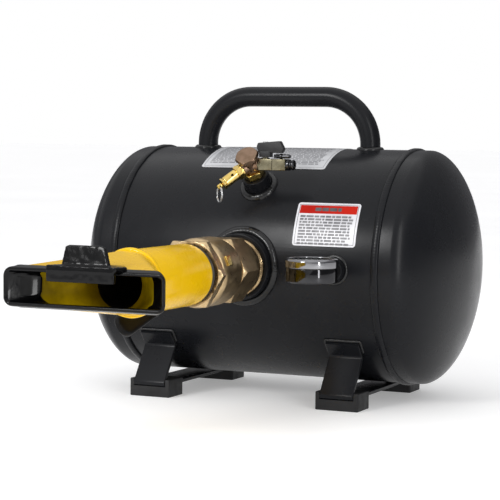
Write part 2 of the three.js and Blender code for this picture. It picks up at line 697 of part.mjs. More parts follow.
// The filling valve lies level along X, with its stem upright.
function buildFillValve() {
  const group = new THREE.Group();
  group.position.copy(fittingPoint).addScaledVector(fittingDirection, fittings.port);
  assembly.add(group);
  const { side, start, stem, joint, end } = fill;
  const lie = (geometry) => pointed(geometry, xAxis);
  const up = new THREE.Vector3(stem, 0, 0);
  const bodyBlock = join(box(joint - start, side, side, (start + joint) / 2, 0, 0),
    lie(rod(5.4, 8.5, start + 1, 14)), pointed(rod(4.6, 5, 7.4, 14), zAxis, up));
  const chamber = new THREE.SphereGeometry(4.8, 10, 6).translate(stem, 0, 0);
  add(group, 'fill_valve_body', cut(bodyBlock, chamber, lie(rod(2.2, 0, 40, 8)),
    pointed(rod(2.3, 0, 10, 10), zAxis, up)), brass());
  const ball = new THREE.SphereGeometry(4.2, 10, 6).translate(stem, 0, 0);
  add(group, 'fill_ball', cut(ball, lie(rod(2, 0, 40, 8))), chrome());
  add(group, 'fill_stem', pointed(rod(1.9, 4.8, 12.6, 10), zAxis, up), steel());
  buildFillHandle(group, up);

  const adapter = box(end - joint - gap, side, side, (end + joint + gap) / 2, 0, 0);
  add(group, 'fill_inlet_adapter', cut(adapter, lie(rod(2.2, 0, 60, 8)),
    lie(rod(4.8, 34, 60, 14))), brass());
  const plug = turned([[2, 35], [4.5, 35], [4.5, end + gap], [6, end + gap], [6, end + 3.4],
    [4.2, end + 4], [4.2, end + 5.4], [5.4, end + 6.2], [5.4, end + 8.4], [2, end + 8.4],
    [2, 35]], 14);
  add(group, 'fill_inlet_plug', lie(plug), chrome());
  const lug = box(3, 4, 4.4, 29.5, 0, side / 2 + gap + 2.2);
  const pin = lie(rod(2.2, 28.5, 46, 10)).translate(0, 0, side / 2 + gap + 2.4);
  add(group, 'fill_stop_pin', join(lug, pin), steel());
}

function buildFillHandle(group, up) {
  const wing = new THREE.Shape([
    new THREE.Vector2(-9, 18.5), new THREE.Vector2(-7.5, 22.5), new THREE.Vector2(17, 24.6),
    new THREE.Vector2(21.5, 16.5), new THREE.Vector2(19.5, 12.2), new THREE.Vector2(-6.5, 12.2)]);
  const blade = plate(wing, 7).rotateX(Math.PI / 2);
  const hub = rod(5.2, 7.7, 14, 14);
  const bore = rod(2.2, 5, 13, 10);
  const screwRoom = join(rod(1.4, 12, 19.5, 8), rod(3, 19.4, 30, 10));
  add(group, 'fill_handle', cut(join(blade, hub), bore, screwRoom).translate(up.x, 0, 0),
    blackPlastic());
  const screw = join(rod(1.1, 13, 20, 8), rod(2.6, 19.7, 21.7, 10));
  add(group, 'fill_handle_screw', screw.translate(up.x, 0, 0), steel());
}

// ---------------------------------------------------------------- assembly

buildTank();
buildFeet();
buildOutletValve();
buildBarrel();
buildGauge();
buildManifold();
buildFillValve();

// The footprint runs from the front of the rim hook to the seam welds at the tank's back.
const frontReach = nozzle.end + dip.thick + 2 * gap + hook.thick;
const backReach = tank.radius + seamBead.height;
assembly.position.y = (frontReach - backReach) / 2;

export default assembly;
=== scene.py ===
"""Looks of a portable air receiver tank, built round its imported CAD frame.

Lengths are in millimetres in the row frame until a mesh is made, which is in metres.
Each piece is described as (points, faces), placed, and then handed to add_piece().
"""

import json
import math
import random

import bmesh
import bpy
from mathutils import Matrix, Vector, noise


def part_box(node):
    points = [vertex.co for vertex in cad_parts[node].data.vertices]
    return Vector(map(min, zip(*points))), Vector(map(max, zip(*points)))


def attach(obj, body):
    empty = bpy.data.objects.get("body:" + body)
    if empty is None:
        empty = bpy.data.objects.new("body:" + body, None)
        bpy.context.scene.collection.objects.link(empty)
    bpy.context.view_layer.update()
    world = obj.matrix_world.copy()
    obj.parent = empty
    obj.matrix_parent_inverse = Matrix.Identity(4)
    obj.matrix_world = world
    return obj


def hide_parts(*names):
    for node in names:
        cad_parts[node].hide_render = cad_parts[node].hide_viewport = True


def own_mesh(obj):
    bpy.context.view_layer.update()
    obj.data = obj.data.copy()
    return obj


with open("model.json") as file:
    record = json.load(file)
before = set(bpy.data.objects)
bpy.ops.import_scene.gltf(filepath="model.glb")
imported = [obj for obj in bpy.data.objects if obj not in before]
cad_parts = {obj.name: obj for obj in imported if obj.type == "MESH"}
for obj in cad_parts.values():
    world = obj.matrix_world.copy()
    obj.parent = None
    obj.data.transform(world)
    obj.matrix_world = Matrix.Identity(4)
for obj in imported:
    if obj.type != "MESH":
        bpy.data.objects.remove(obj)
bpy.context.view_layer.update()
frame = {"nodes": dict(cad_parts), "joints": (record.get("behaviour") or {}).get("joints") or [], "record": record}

MM = 0.001
TURN = 2 * math.pi
X_AXIS = Vector((1, 0, 0))
Y_AXIS = Vector((0, 1, 0))
Z_AXIS = Vector((0, 0, 1))
FORWARD = Vector((0, -1, 0))


# ---------------------------------------- places taken from the frame

def low(node):
    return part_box(node)[0] / MM


def high(node):
    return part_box(node)[1] / MM


def middle(node):
    return (low(node) + high(node)) / 2


def extent(node):
    return high(node) - low(node)


def joint(name):
    return next(j for j in frame["joints"] if j["name"] == name)


def joint_point(name):
    return Vector(joint(name)["pos_m"]) / MM


def joint_axis(name):
    return Vector(joint(name)["axis"]).normalized()


TANK = middle("tank_shell")
TANK_RADIUS = extent("tank_shell").z / 2
OUTLET = middle("barrel_tube")
OUTLET.y = TANK.y
BALL = joint_point("outlet_lever_turn")
STEM = joint_axis("outlet_lever_turn")
GAUGE = middle("gauge_case")
FITTING_DIRECTION = ((middle("manifold_nipple") - TANK) * Vector((0, 1, 1))).normalized()
FITTING = Vector((middle("manifold_nipple").x, TANK.y, TANK.z))
RELIEF_DIRECTION = joint_axis("relief_pull_slide")
FILL_STEM = joint_point("fill_handle_turn")
RING_EYE = joint_point("pull_ring_swing")
RING_AXIS = joint_axis("pull_ring_swing")
PORT = Vector((FITTING.x, FILL_STEM.y, FILL_STEM.z))


# ---------------------------------------- shapes

FILLET_SHARE = 0.48      # a fillet takes at most this share of either side of its corner
HEX_FACE = 0.88          # the round face of a nut, as a share of the radius to its corners
EDGE_STEPS = 3
THREAD_ROWS = 8          # rows of points in each pitch of a thread


def skin(rings, looped=False):
    """Quads from each ring of points to the next, with flat ends unless the rings loop."""
    count = len(rings[0])
    points = [point for ring in rings for point in ring]
    faces = []
    for i in range(len(rings) if looped else len(rings) - 1):
        here = i * count
        there = (i + 1) % len(rings) * count
        for j in range(count):
            k = (j + 1) % count
            faces.append((here + j, here + k, there + k, there + j))
    if not looped:
        faces.append(tuple(range(count)))
        faces.append(tuple(range(len(points) - count, len(points))))
    return points, faces


def joined(*shapes):
    points = []
    faces = []
    for more_points, more_faces in shapes:
        start = len(points)
        points += more_points
        faces += [tuple(i + start for i in face) for face in more_faces]
    return points, faces


def moved(shape, matrix):
    points, faces = shape
    return [matrix @ point for point in points], faces


def placed(shape, direction, origin=Vector((0, 0, 0)), spin=0.0):
    """Turns a shape drawn along +Z to lie along a direction from an origin."""
    turn = Z_AXIS.rotation_difference(direction).to_matrix().to_4x4()
    return moved(shape, Matrix.Translation(origin) @ turn @ Matrix.Rotation(spin, 4, "Z"))


def framed(shape, along, out, origin):
    """Places a shape so that its X runs along one direction and its Z out along another."""
    across = out.cross(along)
    turn = Matrix((along, across, out)).transposed().to_4x4()
    return moved(shape, Matrix.Translation(origin) @ turn)


def rounded(corners, fillet=0.5, steps=3, looped=False):
    """A line of corners with each turn rounded off."""
    corners = [Vector(corner) for corner in corners]
    path = []
    for i, corner in enumerate(corners):
        at_end = i in (0, len(corners) - 1)
        if at_end and not looped:
            path.append(corner)
            continue
        before = corners[i - 1] - corner
        after = corners[(i + 1) % len(corners)] - corner
        size = min(fillet, before.length * FILLET_SHARE, after.length * FILLET_SHARE)
        start = corner + before.normalized() * size
        end = corner + after.normalized() * size
        for step in range(steps + 1):
            t = step / steps
            path.append(start * (1 - t) ** 2 + corner * 2 * t * (1 - t) + end * t * t)
    return path


def angles(count):
    """Evenly spaced angles round a full turn."""
    return [TURN * k / count for k in range(count)]


def circle(radius, height, sides):
    """A level ring of points. The radius is a number, or a function of the angle."""
    reach_at = radius if callable(radius) else lambda angle: radius
    return [Vector((reach_at(a) * math.cos(a), reach_at(a) * math.sin(a), height))
            for a in angles(sides)]


def turned(corners, fillet=0.5, sides=64, limit=None, looped=False):
    """A solid turned about +Z from (radius, height) corners, cut back where limit says."""
    rings = []
    for radius, height in rounded(corners, fillet, looped=looped):
        if radius < 0.01:    # a corner on the axis is closed by the flat end
            continue
        reach = (lambda angle: min(radius, limit(angle))) if limit else radius
        rings.append(circle(reach, height, sides))
    return skin(rings, looped)


def rod(radius, start, end, fillet=0.4, sides=48):
    return turned([(0, start), (radius, start), (radius, end), (0, end)], fillet, sides)


def tube(outer, inner, start, end, fillet=0.4, sides=64):
    corners = [(inner, start), (outer, start), (outer, end), (inner, end)]
    return turned(corners, fillet, sides, looped=True)


def hexagon(corner):
    """The reach of a hexagon at each angle, with a corner at angle 0."""
    def reach(angle):
        off_flat = (angle % (TURN / 6)) - TURN / 12
        return corner * math.cos(TURN / 12) / math.cos(off_flat)
    return reach


def hex_bar(corner, start, end, chamfer=1.2, sides=96):
    """A hexagonal bar with the turned chamfers of a nut."""
    inner = corner * HEX_FACE
    corners = [(0, start), (inner, start), (corner, start + chamfer),
               (corner, end - chamfer), (inner, end), (0, end)]
    return turned(corners, 0.3, sides, hexagon(corner))


def hex_ring(corner, bore, start, end, chamfer=1.2, sides=96):
    inner = max(corner * HEX_FACE, bore + 0.5)
    corners = [(bore, start), (inner, start), (corner, start + chamfer),
               (corner, end - chamfer), (inner, end), (bore, end)]
    return turned(corners, 0.3, sides, hexagon(corner), looped=True)


def threaded(radius, depth, pitch, start, end, bore=0.0, sides=48):
    """A threaded stub along +Z: one helical ridge."""
    rows = max(2, round((end - start) / pitch * THREAD_ROWS))
    rings = []
    for i in range(rows + 1):
        height = start + (end - start) * i / rows

        def ridge(angle):
            rise = abs(((height / pitch - angle / TURN) % 1.0) * 2 - 1)
            return radius - depth * rise

        rings.append(circle(ridge, height, sides))
    if bore:
        rings += [circle(bore, height, sides) for height in (end, start)]
    return skin(rings, looped=bool(bore))


def rounded_rectangle(half_x, half_y, corner, steps=6):
    points = []
    for quarter in range(4):
        sign_x = (1, -1, -1, 1)[quarter]
        sign_y = (1, 1, -1, -1)[quarter]
        for step in range(steps + 1):
            angle = TURN / 4 * (quarter + step / steps)
            points.append(Vector((sign_x * (half_x - corner) + corner * math.cos(angle),
                                  sign_y * (half_y - corner) + corner * math.sin(angle))))
    return points


def inset(outline, distance):
    """An outline, listed anticlockwise, moved inward by a distance."""
    result = []
    for i, point in enumerate(outline):
        back = (point - outline[i - 1]).normalized()
        ahead = (outline[(i + 1) % len(outline)] - point).normalized()
        mitre = (back + ahead).normalized()
        inward = Vector((-mitre.y, mitre.x))
        stretch = max(mitre.dot(ahead), 0.5)
        result.append(point + inward * (distance / stretch))
    return result


def slab(outline, bottom, top, edge=0.5):
    """A plate from an outline in the XY plane, with rounded edges."""
    outline = [Vector(point) for point in outline]
    turns = [TURN / 4 * step / EDGE_STEPS for step in range(EDGE_STEPS + 1)]
    steps = [(edge * (1 - math.sin(turn)), edge * (1 - math.cos(turn))) for turn in turns]
    levels = [(inward, bottom + rise) for inward, rise in steps]
    levels += [(inward, top - rise) for inward, rise in reversed(steps)]
    return skin([[p.to_3d() + Z_AXIS * level for p in inset(outline, inward)]
                 for inward, level in levels])


def swept(path, normals, section, looped=False):
    """Carries a section, a list of (sideways, outward) offsets, along a path."""
    section_at = section if callable(section) else lambda i: section
    rings = []
    count = len(path)
    for i, point in enumerate(path):
        before = path[i - 1] if looped or i else point
        after = path[(i + 1) % count] if looped or i < count - 1 else point
        ahead = (after - before).normalized()
        out = (normals[i] - ahead * normals[i].dot(ahead)).normalized()
        side = ahead.cross(out)
        rings.append([point + side * s + out * o for s, o in section_at(i)])
    return skin(rings, looped)


def circle_section(radius, sides=16):
    return [(radius * math.cos(a), radius * math.sin(a)) for a in angles(sides)]


def pairs(points):
    """A section for swept() from a list of points."""
    return [(point.x, point.y) for point in points]


def spaced(path, spacing, looped=False):
    """Points at even spacing along a line of points."""
    line = path + path[:1] if looped else path
    lengths = [0.0]
    for a, b in zip(line, line[1:]):
        lengths.append(lengths[-1] + (b - a).length)
    count = max(2, round(lengths[-1] / spacing))
    result = []
    j = 0
    for i in range(count if looped else count + 1):
        target = lengths[-1] * i / count
        while j < len(lengths) - 2 and lengths[j + 1] < target:
            j += 1
        t = (target - lengths[j]) / max(lengths[j + 1] - lengths[j], 1e-9)
        result.append(line[j].lerp(line[j + 1], t))
    return result


def weld_bead(path, normal_at, width, height, looped=True, pitch=4.0, seed=0,
              ripple_depth=0.05):
    """A weld bead: overlapping crescents along a path, a little uneven."""
    steps_per_ripple = 6
    across = 10
    crescent = 0.6       # how far each ripple lags behind at the bead's edges
    sunk = -0.8          # the bead's foot is this far inside the metal
    line = spaced(path, pitch / steps_per_ripple, looped)
    normals = [normal_at(point) for point in line]

    def section(i):
        half = width / 2 * (1 + 0.10 * noise.noise(Vector((i * 0.035, seed * 7.3, 0))))
        rise = height * (1 + 0.12 * noise.noise(Vector((i * 0.05, seed * 3.1, 9))))
        ring = []
        for k in range(across + 1):
            u = 2 * k / across - 1
            phase = (i / steps_per_ripple - crescent * u * u) % 1.0
            ripple = 1 - ripple_depth * (1 - math.sin(TURN / 2 * phase))
            ring.append((half * u, rise * ripple * math.sqrt(max(1 - u * u, 0))))
        return ring + [(half * 0.9, sunk), (-half * 0.9, sunk)]

    return swept(line, normals, section, looped)


# ---------------------------------------- materials

def noise_node(tree, scale, detail=4.0, roughness=0.55, stretch=None):
    coordinates = tree.nodes.new("ShaderNodeTexCoord")
    texture = tree.nodes.new("ShaderNodeTexNoise")
    texture.inputs["Scale"].default_value = scale
    texture.inputs["Detail"].default_value = detail
    texture.inputs["Roughness"].default_value = roughness
    source = coordinates.outputs["Object"]
    if stretch:
        mapping = tree.nodes.new("ShaderNodeMapping")
        mapping.inputs["Scale"].default_value = stretch
        tree.links.new(source, mapping.inputs["Vector"])
        source = mapping.outputs["Vector"]
    tree.links.new(source, texture.inputs["Vector"])
    return texture.outputs["Fac"]


def ramp_node(tree, value, stops):
    ramp = tree.nodes.new("ShaderNodeValToRGB")
    elements = ramp.color_ramp.elements
    while len(elements) < len(stops):
        elements.new(0.5)
    for element, (position, colour) in zip(elements, stops):
        element.position = position
        element.color = (*colour, 1)
    tree.links.new(value, ramp.inputs["Fac"])
    return ramp.outputs["Color"]


def range_node(tree, value, start, end, new_start, new_end):
    node = tree.nodes.new("ShaderNodeMapRange")
    for name, number in (("From Min", start), ("From Max", end),
                         ("To Min", new_start), ("To Max", new_end)):
        node.inputs[name].default_value = number
    tree.links.new(value, node.inputs["Value"])
    return node.outputs["Result"]


def bump_node(tree, height, strength, distance, previous=None):
    bump = tree.nodes.new("ShaderNodeBump")
    bump.inputs["Strength"].default_value = strength
    bump.inputs["Distance"].default_value = distance
    tree.links.new(height, bump.inputs["Height"])
    if previous:
        tree.links.new(previous, bump.inputs["Normal"])
    return bump.outputs["Normal"]


def new_material(name, metallic=0.0, coat=0.0, coat_roughness=0.1, specular=0.5):
    material = bpy.data.materials.new(name)
    material.use_nodes = True
    tree = material.node_tree
    shader = tree.nodes["Principled BSDF"]
    shader.inputs["Metallic"].default_value = metallic
    shader.inputs["Coat Weight"].default_value = coat
    shader.inputs["Coat Roughness"].default_value = coat_roughness
    shader.inputs["Specular IOR Level"].default_value = specular
    return material, tree, shader


def surface(name, dark, light, rough, metallic=0.0, coat=0.0, coat_roughness=0.1,
            patch=25.0, grain=900.0, grain_height=0.00002, grain_strength=0.3,
            lump=0.0, lump_scale=120.0, stretch=None, specular=0.5):
    """A finish with patches of two colours, uneven gloss, and a fine grain over soft lumps."""
    material, tree, shader = new_material(name, metallic, coat, coat_roughness, specular)
    link = tree.links.new
    patches = noise_node(tree, patch, 5.0)
    link(ramp_node(tree, patches, [(0.38, dark), (0.64, light)]), shader.inputs["Base Color"])
    gloss = noise_node(tree, patch * 3.1, 6.0)
    link(range_node(tree, gloss, 0.3, 0.7, rough[0], rough[1]), shader.inputs["Roughness"])
    normal = None
    if lump:
        normal = bump_node(tree, noise_node(tree, lump_scale, 2.0), 0.5, lump)
    fine = noise_node(tree, grain, 3.0, stretch=stretch)
    normal = bump_node(tree, fine, grain_strength, grain_height, normal)
    link(normal, shader.inputs["Normal"])
    return material


def glass_finish():
    material, tree, shader = new_material("lens_glass")
    shader.inputs["Transmission Weight"].default_value = 1.0
    shader.inputs["IOR"].default_value = 1.46
    smear = noise_node(tree, 60.0, 4.0)
    tree.links.new(range_node(tree, smear, 0.3, 0.8, 0.0, 0.06), shader.inputs["Roughness"])
    tint = ramp_node(tree, smear, [(0.2, (0.93, 0.97, 0.97)), (0.9, (1, 1, 1))])
    tree.links.new(tint, shader.inputs["Base Color"])
    return material


FINISHES = {"lens": glass_finish()}


def new_finish(name, dark, light, rough, slot=None, **more):
    """Adds a finish under its own name. The slot argument is not used."""
    FINISHES[name] = surface(name, dark, light, rough, **more)


def make_paints():
    even = {"grain_height": 0.00001, "grain_strength": 0.25, "grain": 1500.0}
    new_finish("black_paint", (0.0060, 0.0064, 0.0078), (0.0086, 0.0091, 0.0108), (0.24, 0.32),
               patch=9.0, lump=0.00005, lump_scale=320.0, specular=0.16, **even)
    new_finish("painted_weld", (0.0060, 0.0062, 0.0066), (0.0090, 0.0092, 0.0098), (0.13, 0.24),
               "black_paint", patch=60.0, lump=0.00008, lump_scale=500.0, specular=0.36, **even)
    new_finish("yellow_paint", (0.74, 0.44, 0.0), (0.80, 0.485, 0.0), (0.22, 0.32),
               coat=0.2, coat_roughness=0.06, patch=16.0, grain=1100.0, specular=0.14,
               grain_height=0.00001, grain_strength=0.2, lump=0.00018, lump_scale=110.0,
               stretch=(1.0, 0.25, 1.0))
    # A darker copy of the yellow for the fan's inside: painted shade, with streaks along the flow.
    new_finish("shaded_inner_yellow", (0.27, 0.18, 0.0002), (0.58, 0.40, 0.0004), (0.40, 0.6),
               "yellow_paint", patch=34.0, grain=700.0, grain_height=0.00006,
               stretch=(1.0, 0.08, 6.0), specular=0.08)


def make_brasses():
    def brass(name, dark, light, rough, slot, **more):
        new_finish(name, dark, light, rough, slot, metallic=1.0, **more)

    brass("brass", (0.46, 0.33, 0.18), (0.64, 0.48, 0.27), (0.22, 0.38), "brass",
          patch=70.0, grain=1700.0)
    brass("cast_brass", (0.40, 0.29, 0.16), (0.56, 0.42, 0.24), (0.26, 0.42), "brass",
          patch=55.0, grain=1300.0, grain_height=0.00006, grain_strength=0.5,
          lump=0.0002, lump_scale=420.0)
    brass("forged_brass", (0.185, 0.122, 0.078), (0.28, 0.185, 0.13), (0.30, 0.46), "brass",
          patch=70.0, grain=1600.0, grain_height=0.00004, grain_strength=0.4)
    brass("bright_brass", (0.60, 0.42, 0.10), (0.78, 0.57, 0.19), (0.10, 0.22),
          "bright_brass", patch=80.0, grain=2000.0, grain_height=0.00001, grain_strength=0.25)
    brass("nickel", (0.14, 0.125, 0.080), (0.22, 0.20, 0.135), (0.24, 0.38), "brass",
          patch=70.0, grain=1800.0)


def make_steels():
    plated = {"metallic": 1.0, "patch": 40.0, "grain": 1500.0, "grain_height": 0.000005,
              "grain_strength": 0.15}
    new_finish("chrome", (0.22, 0.22, 0.23), (0.30, 0.30, 0.31), (0.05, 0.11), **plated)
    # Chrome darkened in its colour: on the gauge cup this is a painted reflection of the black drum; the stop pin
    # and the air plug take it too.
    new_finish("dark_chrome_and_painted_reflection", (0.040, 0.040, 0.042), (0.055, 0.055, 0.058), (0.05, 0.10),
               "chrome", **plated)
    new_finish("steel", (0.48, 0.48, 0.48), (0.62, 0.62, 0.62), (0.22, 0.36), metallic=1.0,
               patch=60.0, grain=1800.0)
    new_finish("spring_steel", (0.36, 0.36, 0.37), (0.50, 0.50, 0.51), (0.25, 0.4),
               metallic=1.0, patch=200.0, grain=2500.0, grain_height=0.00001)
    new_finish("dark_thread", (0.020, 0.018, 0.015), (0.06, 0.052, 0.042), (0.35, 0.55),
               "steel", metallic=0.6, patch=120.0, grain=1500.0, grain_height=0.00003)


def make_plastics():
    new_finish("plastisol", (0.0015, 0.0015, 0.0018), (0.0030, 0.0030, 0.0034), (0.10, 0.18),
               coat=0.16, coat_roughness=0.03, patch=30.0, grain=700.0, grain_height=0.00001,
               grain_strength=0.15, lump=0.00012, lump_scale=190.0, specular=0.12)
    new_finish("grip_vinyl", (0.003, 0.003, 0.0034), (0.006, 0.006, 0.0065), (0.38, 0.52),
               "plastisol", patch=30.0, grain=1200.0, specular=0.12)
    new_finish("rubber", (0.009, 0.009, 0.0095), (0.018, 0.018, 0.019), (0.45, 0.65),
               patch=35.0, grain=1600.0, grain_height=0.00004, grain_strength=0.5, specular=0.3)
    new_finish("black_plastic", (0.010, 0.010, 0.011), (0.018, 0.018, 0.019), (0.38, 0.52),
               patch=60.0, grain=2600.0, grain_height=0.00003, grain_strength=0.5, specular=0.35)
    new_finish("seat_plastic", (0.78, 0.78, 0.75), (0.86, 0.86, 0.83), (0.4, 0.55), patch=60.0)


def make_prints():
    new_finish("label", (0.50, 0.50, 0.53), (0.60, 0.60, 0.63), (0.28, 0.4), coat=0.3,
               coat_roughness=0.2, patch=30.0, grain_height=0.00001)
    new_finish("label_silver", (0.42, 0.425, 0.44), (0.52, 0.525, 0.54), (0.30, 0.42), "label",
               patch=30.0, grain_height=0.00001)
    new_finish("label_red", (0.36, 0.010, 0.005), (0.43, 0.014, 0.006), (0.35, 0.5), "label",
               patch=40.0, specular=0.06)
    new_finish("label_ink", (0.035, 0.034, 0.038), (0.07, 0.068, 0.074), (0.35, 0.5), "label",
               patch=90.0)
    new_finish("label_grey", (0.10, 0.10, 0.11), (0.19, 0.19, 0.20), (0.3, 0.45), "label",
               patch=90.0)
    new_finish("dial", (0.78, 0.78, 0.76), (0.86, 0.86, 0.84), (0.4, 0.5), patch=50.0)
    new_finish("needle", (0.010, 0.010, 0.010), (0.02, 0.02, 0.02), (0.35, 0.5), patch=150.0)


make_paints()
make_brasses()
make_steels()
make_plastics()
make_prints()


# ---------------------------------------- making pieces

SHARP = 34.0             # edges that turn by more degrees than this stay hard


def in_scene(name, data):
    """A new object for a mesh, light or camera, linked to the scene."""
    obj = bpy.data.objects.new(name, data)
    bpy.context.scene.collection.objects.link(obj)
    return obj


def make_object(name, shape, sharp_angle=SHARP):
    points, faces = shape
    mesh = bpy.data.meshes.new(name)
    mesh.from_pydata([point * MM for point in points], [], faces)
    finish_mesh(mesh, sharp_angle)
    return in_scene(name, mesh)


def finish_mesh(mesh, sharp_angle):
    """Faces outward, smooth shading, and hard edges only where the surface turns sharply."""
    work = bmesh.new()
    work.from_mesh(mesh)
    bmesh.ops.remove_doubles(work, verts=work.verts, dist=1e-6)
    bmesh.ops.recalc_face_normals(work, faces=work.faces)
    for face in work.faces:
        face.smooth = True
    for edge in work.edges:
        if len(edge.link_faces) == 2:
            edge.smooth = edge.calc_face_angle(0.0) < math.radians(sharp_angle)
    work.to_mesh(mesh)
    work.free()


def settle(obj, finish, body="receiver", stands_for=()):
    obj.data.materials.clear()
    obj.data.materials.append(FINISHES[finish])
    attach(obj, body)
    if stands_for:
        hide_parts(*stands_for)
    return obj


def add_piece(name, shape, finish, body="receiver", stands_for=(), sharp_angle=SHARP):
    return settle(make_object(name, shape, sharp_angle), finish, body, stands_for)


def add_weld(name, path, normal_at, width, height, finish="painted_weld", stands_for=(),
             **more):
    bead = weld_bead(path, normal_at, width, height, **more)
    return add_piece(name, bead, finish, stands_for=stands_for, sharp_angle=70)


def bake(obj):
    """Applies the object's modifiers to its mesh."""
    bpy.context.view_layer.update()
    shown = obj.evaluated_get(bpy.context.evaluated_depsgraph_get())
    mesh = bpy.data.meshes.new_from_object(shown)
    obj.modifiers.clear()
    old = obj.data
    obj.data = mesh
    bpy.data.meshes.remove(old)


def carve(obj, cutter_shape):
    """Cuts a shape out of an object."""
    cutter = make_object(obj.name + "_cutter", cutter_shape)
    boolean = obj.modifiers.new("carve", "BOOLEAN")
    boolean.operation = "DIFFERENCE"
    boolean.solver = "EXACT"
    boolean.object = cutter
    bake(obj)
    bpy.data.objects.remove(cutter)
    finish_mesh(obj.data, SHARP)


def lumpy(shapes, voxel, smoothing, lump, lump_size):
    """Melts shapes together into one soft, dipped-looking form."""
    obj = make_object("melt", joined(*shapes))
    remesh = obj.modifiers.new("melt", "REMESH")
    remesh.mode = "VOXEL"
    remesh.voxel_size = voxel * MM
    smooth = obj.modifiers.new("soften", "SMOOTH")
    smooth.factor = 0.5
    smooth.iterations = smoothing
    bake(obj)
    for vertex in obj.data.vertices:
        height = lump * noise.noise(vertex.co / MM / lump_size)
        vertex.co += vertex.normal * (height * MM)
    finish_mesh(obj.data, 60.0)
    return obj


# ---------------------------------------- drum

HANDS = ((-1, "left"), (1, "right"))
SEAM = middle("seam_weld_right").x
DRUM_SIDES = 192
WALL = 3.0
OUTLET_HOLE = 36.0       # the radius of the hole in the shell behind the outlet
HEAD_POWER = 1.76        # the crown of a head is half of a superellipse
HEAD_FLANGE = 16.0
HANDLE_BEND = 52.0
HANDLE_DEPTH = 6.0       # the ends of the handle's tube lie this deep in the drum
BUNG_DEPTH = 25.0
FITTING_SOCKET = 142.0


def across_drum(vector):
    return Vector((0, vector.y, vector.z))


def drum_point(x, angle, lift=0.0):
    """A point on the drum: angle 0 is its front and a quarter turn is its top."""
    reach = TANK_RADIUS + lift
    return Vector((x, TANK.y - reach * math.cos(angle), TANK.z + reach * math.sin(angle)))


def drum_normal(point):
    return across_drum(point - TANK).normalized()


def boss_outline(origin, direction, radius, count=120):
    """The line where a round boss meets the drum."""
    up = direction.cross(X_AXIS)
    path = []
    for angle in angles(count):
        start = origin + (X_AXIS * math.cos(angle) + up * math.sin(angle)) * radius
        away = across_drum(start - TANK)
        along = away.dot(direction)
        reach = math.sqrt(along ** 2 - away.length_squared + TANK_RADIUS ** 2) - along
        path.append(start + direction * reach)
    return path


def corner_normal(origin, direction):
    """Half way between the drum's surface and the side of a boss."""
    def normal_at(point):
        away = point - origin
        radial = (away - direction * away.dot(direction)).normalized()
        return (drum_normal(point) + radial).normalized()
    return normal_at


def add_shell():
    half = extent("tank_shell").x / 2
    shell = tube(TANK_RADIUS, TANK_RADIUS - WALL, -half, half, 0.4, DRUM_SIDES)
    obj = make_object("drum_shell", placed(shell, X_AXIS, TANK))
    cutter = rod(OUTLET_HOLE, TANK_RADIUS - 30, TANK_RADIUS + 30)
    carve(obj, placed(cutter, FORWARD, OUTLET))
    settle(obj, "black_paint", stands_for=["tank_shell"])


def add_head(side, hand):
    """A flanged head with a shallow crown, and a small step at the flange's edge."""
    edge = SEAM + 1
    step = 0.6
    crown_start = SEAM + HEAD_FLANGE
    crown = high("tank_head_right").x - crown_start
    corners = [(0, edge), (TANK_RADIUS - step, edge), (TANK_RADIUS, edge + step)]
    rings = 40
    for i in range(rings):
        turn = TURN / 4 * i / rings
        radius = TANK_RADIUS * math.cos(turn) ** (2 / HEAD_POWER)
        out = crown * math.sin(turn) ** (2 / HEAD_POWER)
        corners.append((radius, crown_start + out))
    head = turned(corners, 0.0, DRUM_SIDES)
    add_piece(f"head_{hand}", placed(head, X_AXIS * side, across_drum(TANK)), "black_paint",
              stands_for=[f"tank_head_{hand}"])


def add_seam_weld(side, hand):
    node = f"seam_weld_{hand}"
    ring = [drum_point(side * SEAM, angle) for angle in angles(240)]
    rise = high(node).z - TANK.z - TANK_RADIUS
    add_weld(f"seam_bead_{hand}", ring, drum_normal, extent(node).x, rise, "black_paint",
             [node], pitch=3.2, seed=side + 2)


def add_drum():
    add_shell()
    for side, hand in HANDS:
        add_head(side, hand)
    for side, hand in HANDS:
        add_seam_weld(side, hand)


def handle_path(radius, half_span):
    """The handle's middle line: up the left leg, across the top and down the right leg."""
    shoulder = high("carry_handle").z - radius - HANDLE_BEND
    foot = TANK.z + TANK_RADIUS - HANDLE_DEPTH
    path = [Vector((-half_span, TANK.y, foot))]
    for side in (-1, 1):
        for step in range(17):
            angle = TURN / 4 * (step / 16 if side < 0 else 1 - step / 16)
            out = half_span - HANDLE_BEND + HANDLE_BEND * math.cos(angle)
            path.append(Vector((side * out, TANK.y, shoulder + HANDLE_BEND * math.sin(angle))))
    path.append(Vector((half_span, TANK.y, foot)))
    return path


def add_handle():
    radius = extent("carry_handle").y / 2
    half_span = high("carry_handle").x - radius
    line = spaced(handle_path(radius, half_span), 4.0)
    pipe = swept(line, [Y_AXIS] * len(line), circle_section(radius, 32))
    add_piece("handle_tube", pipe, "black_paint", stands_for=["carry_handle"])
    for side, hand in HANDS:
        foot = Vector((side * half_span, TANK.y, TANK.z))
        ring = boss_outline(foot, Z_AXIS, radius + 1.2)
        add_weld(f"handle_weld_{hand}", ring, corner_normal(foot, Z_AXIS), 6.0, 2.6,
                 seed=side + 5)


def add_bung(name, node, direction, origin, radius, bore, face, weld_width):
    collar = tube(radius, bore, TANK_RADIUS - BUNG_DEPTH, face, 0.9, 96)
    add_piece(name, placed(collar, direction, origin), "black_paint", stands_for=[node])
    off_side = weld_width * 0.28
    rise = weld_width * 0.4
    ring = boss_outline(origin, direction, radius + off_side)
    add_weld(name + "_weld", ring, corner_normal(origin, direction), weld_width, rise,
             seed=radius, ripple_depth=0.04)


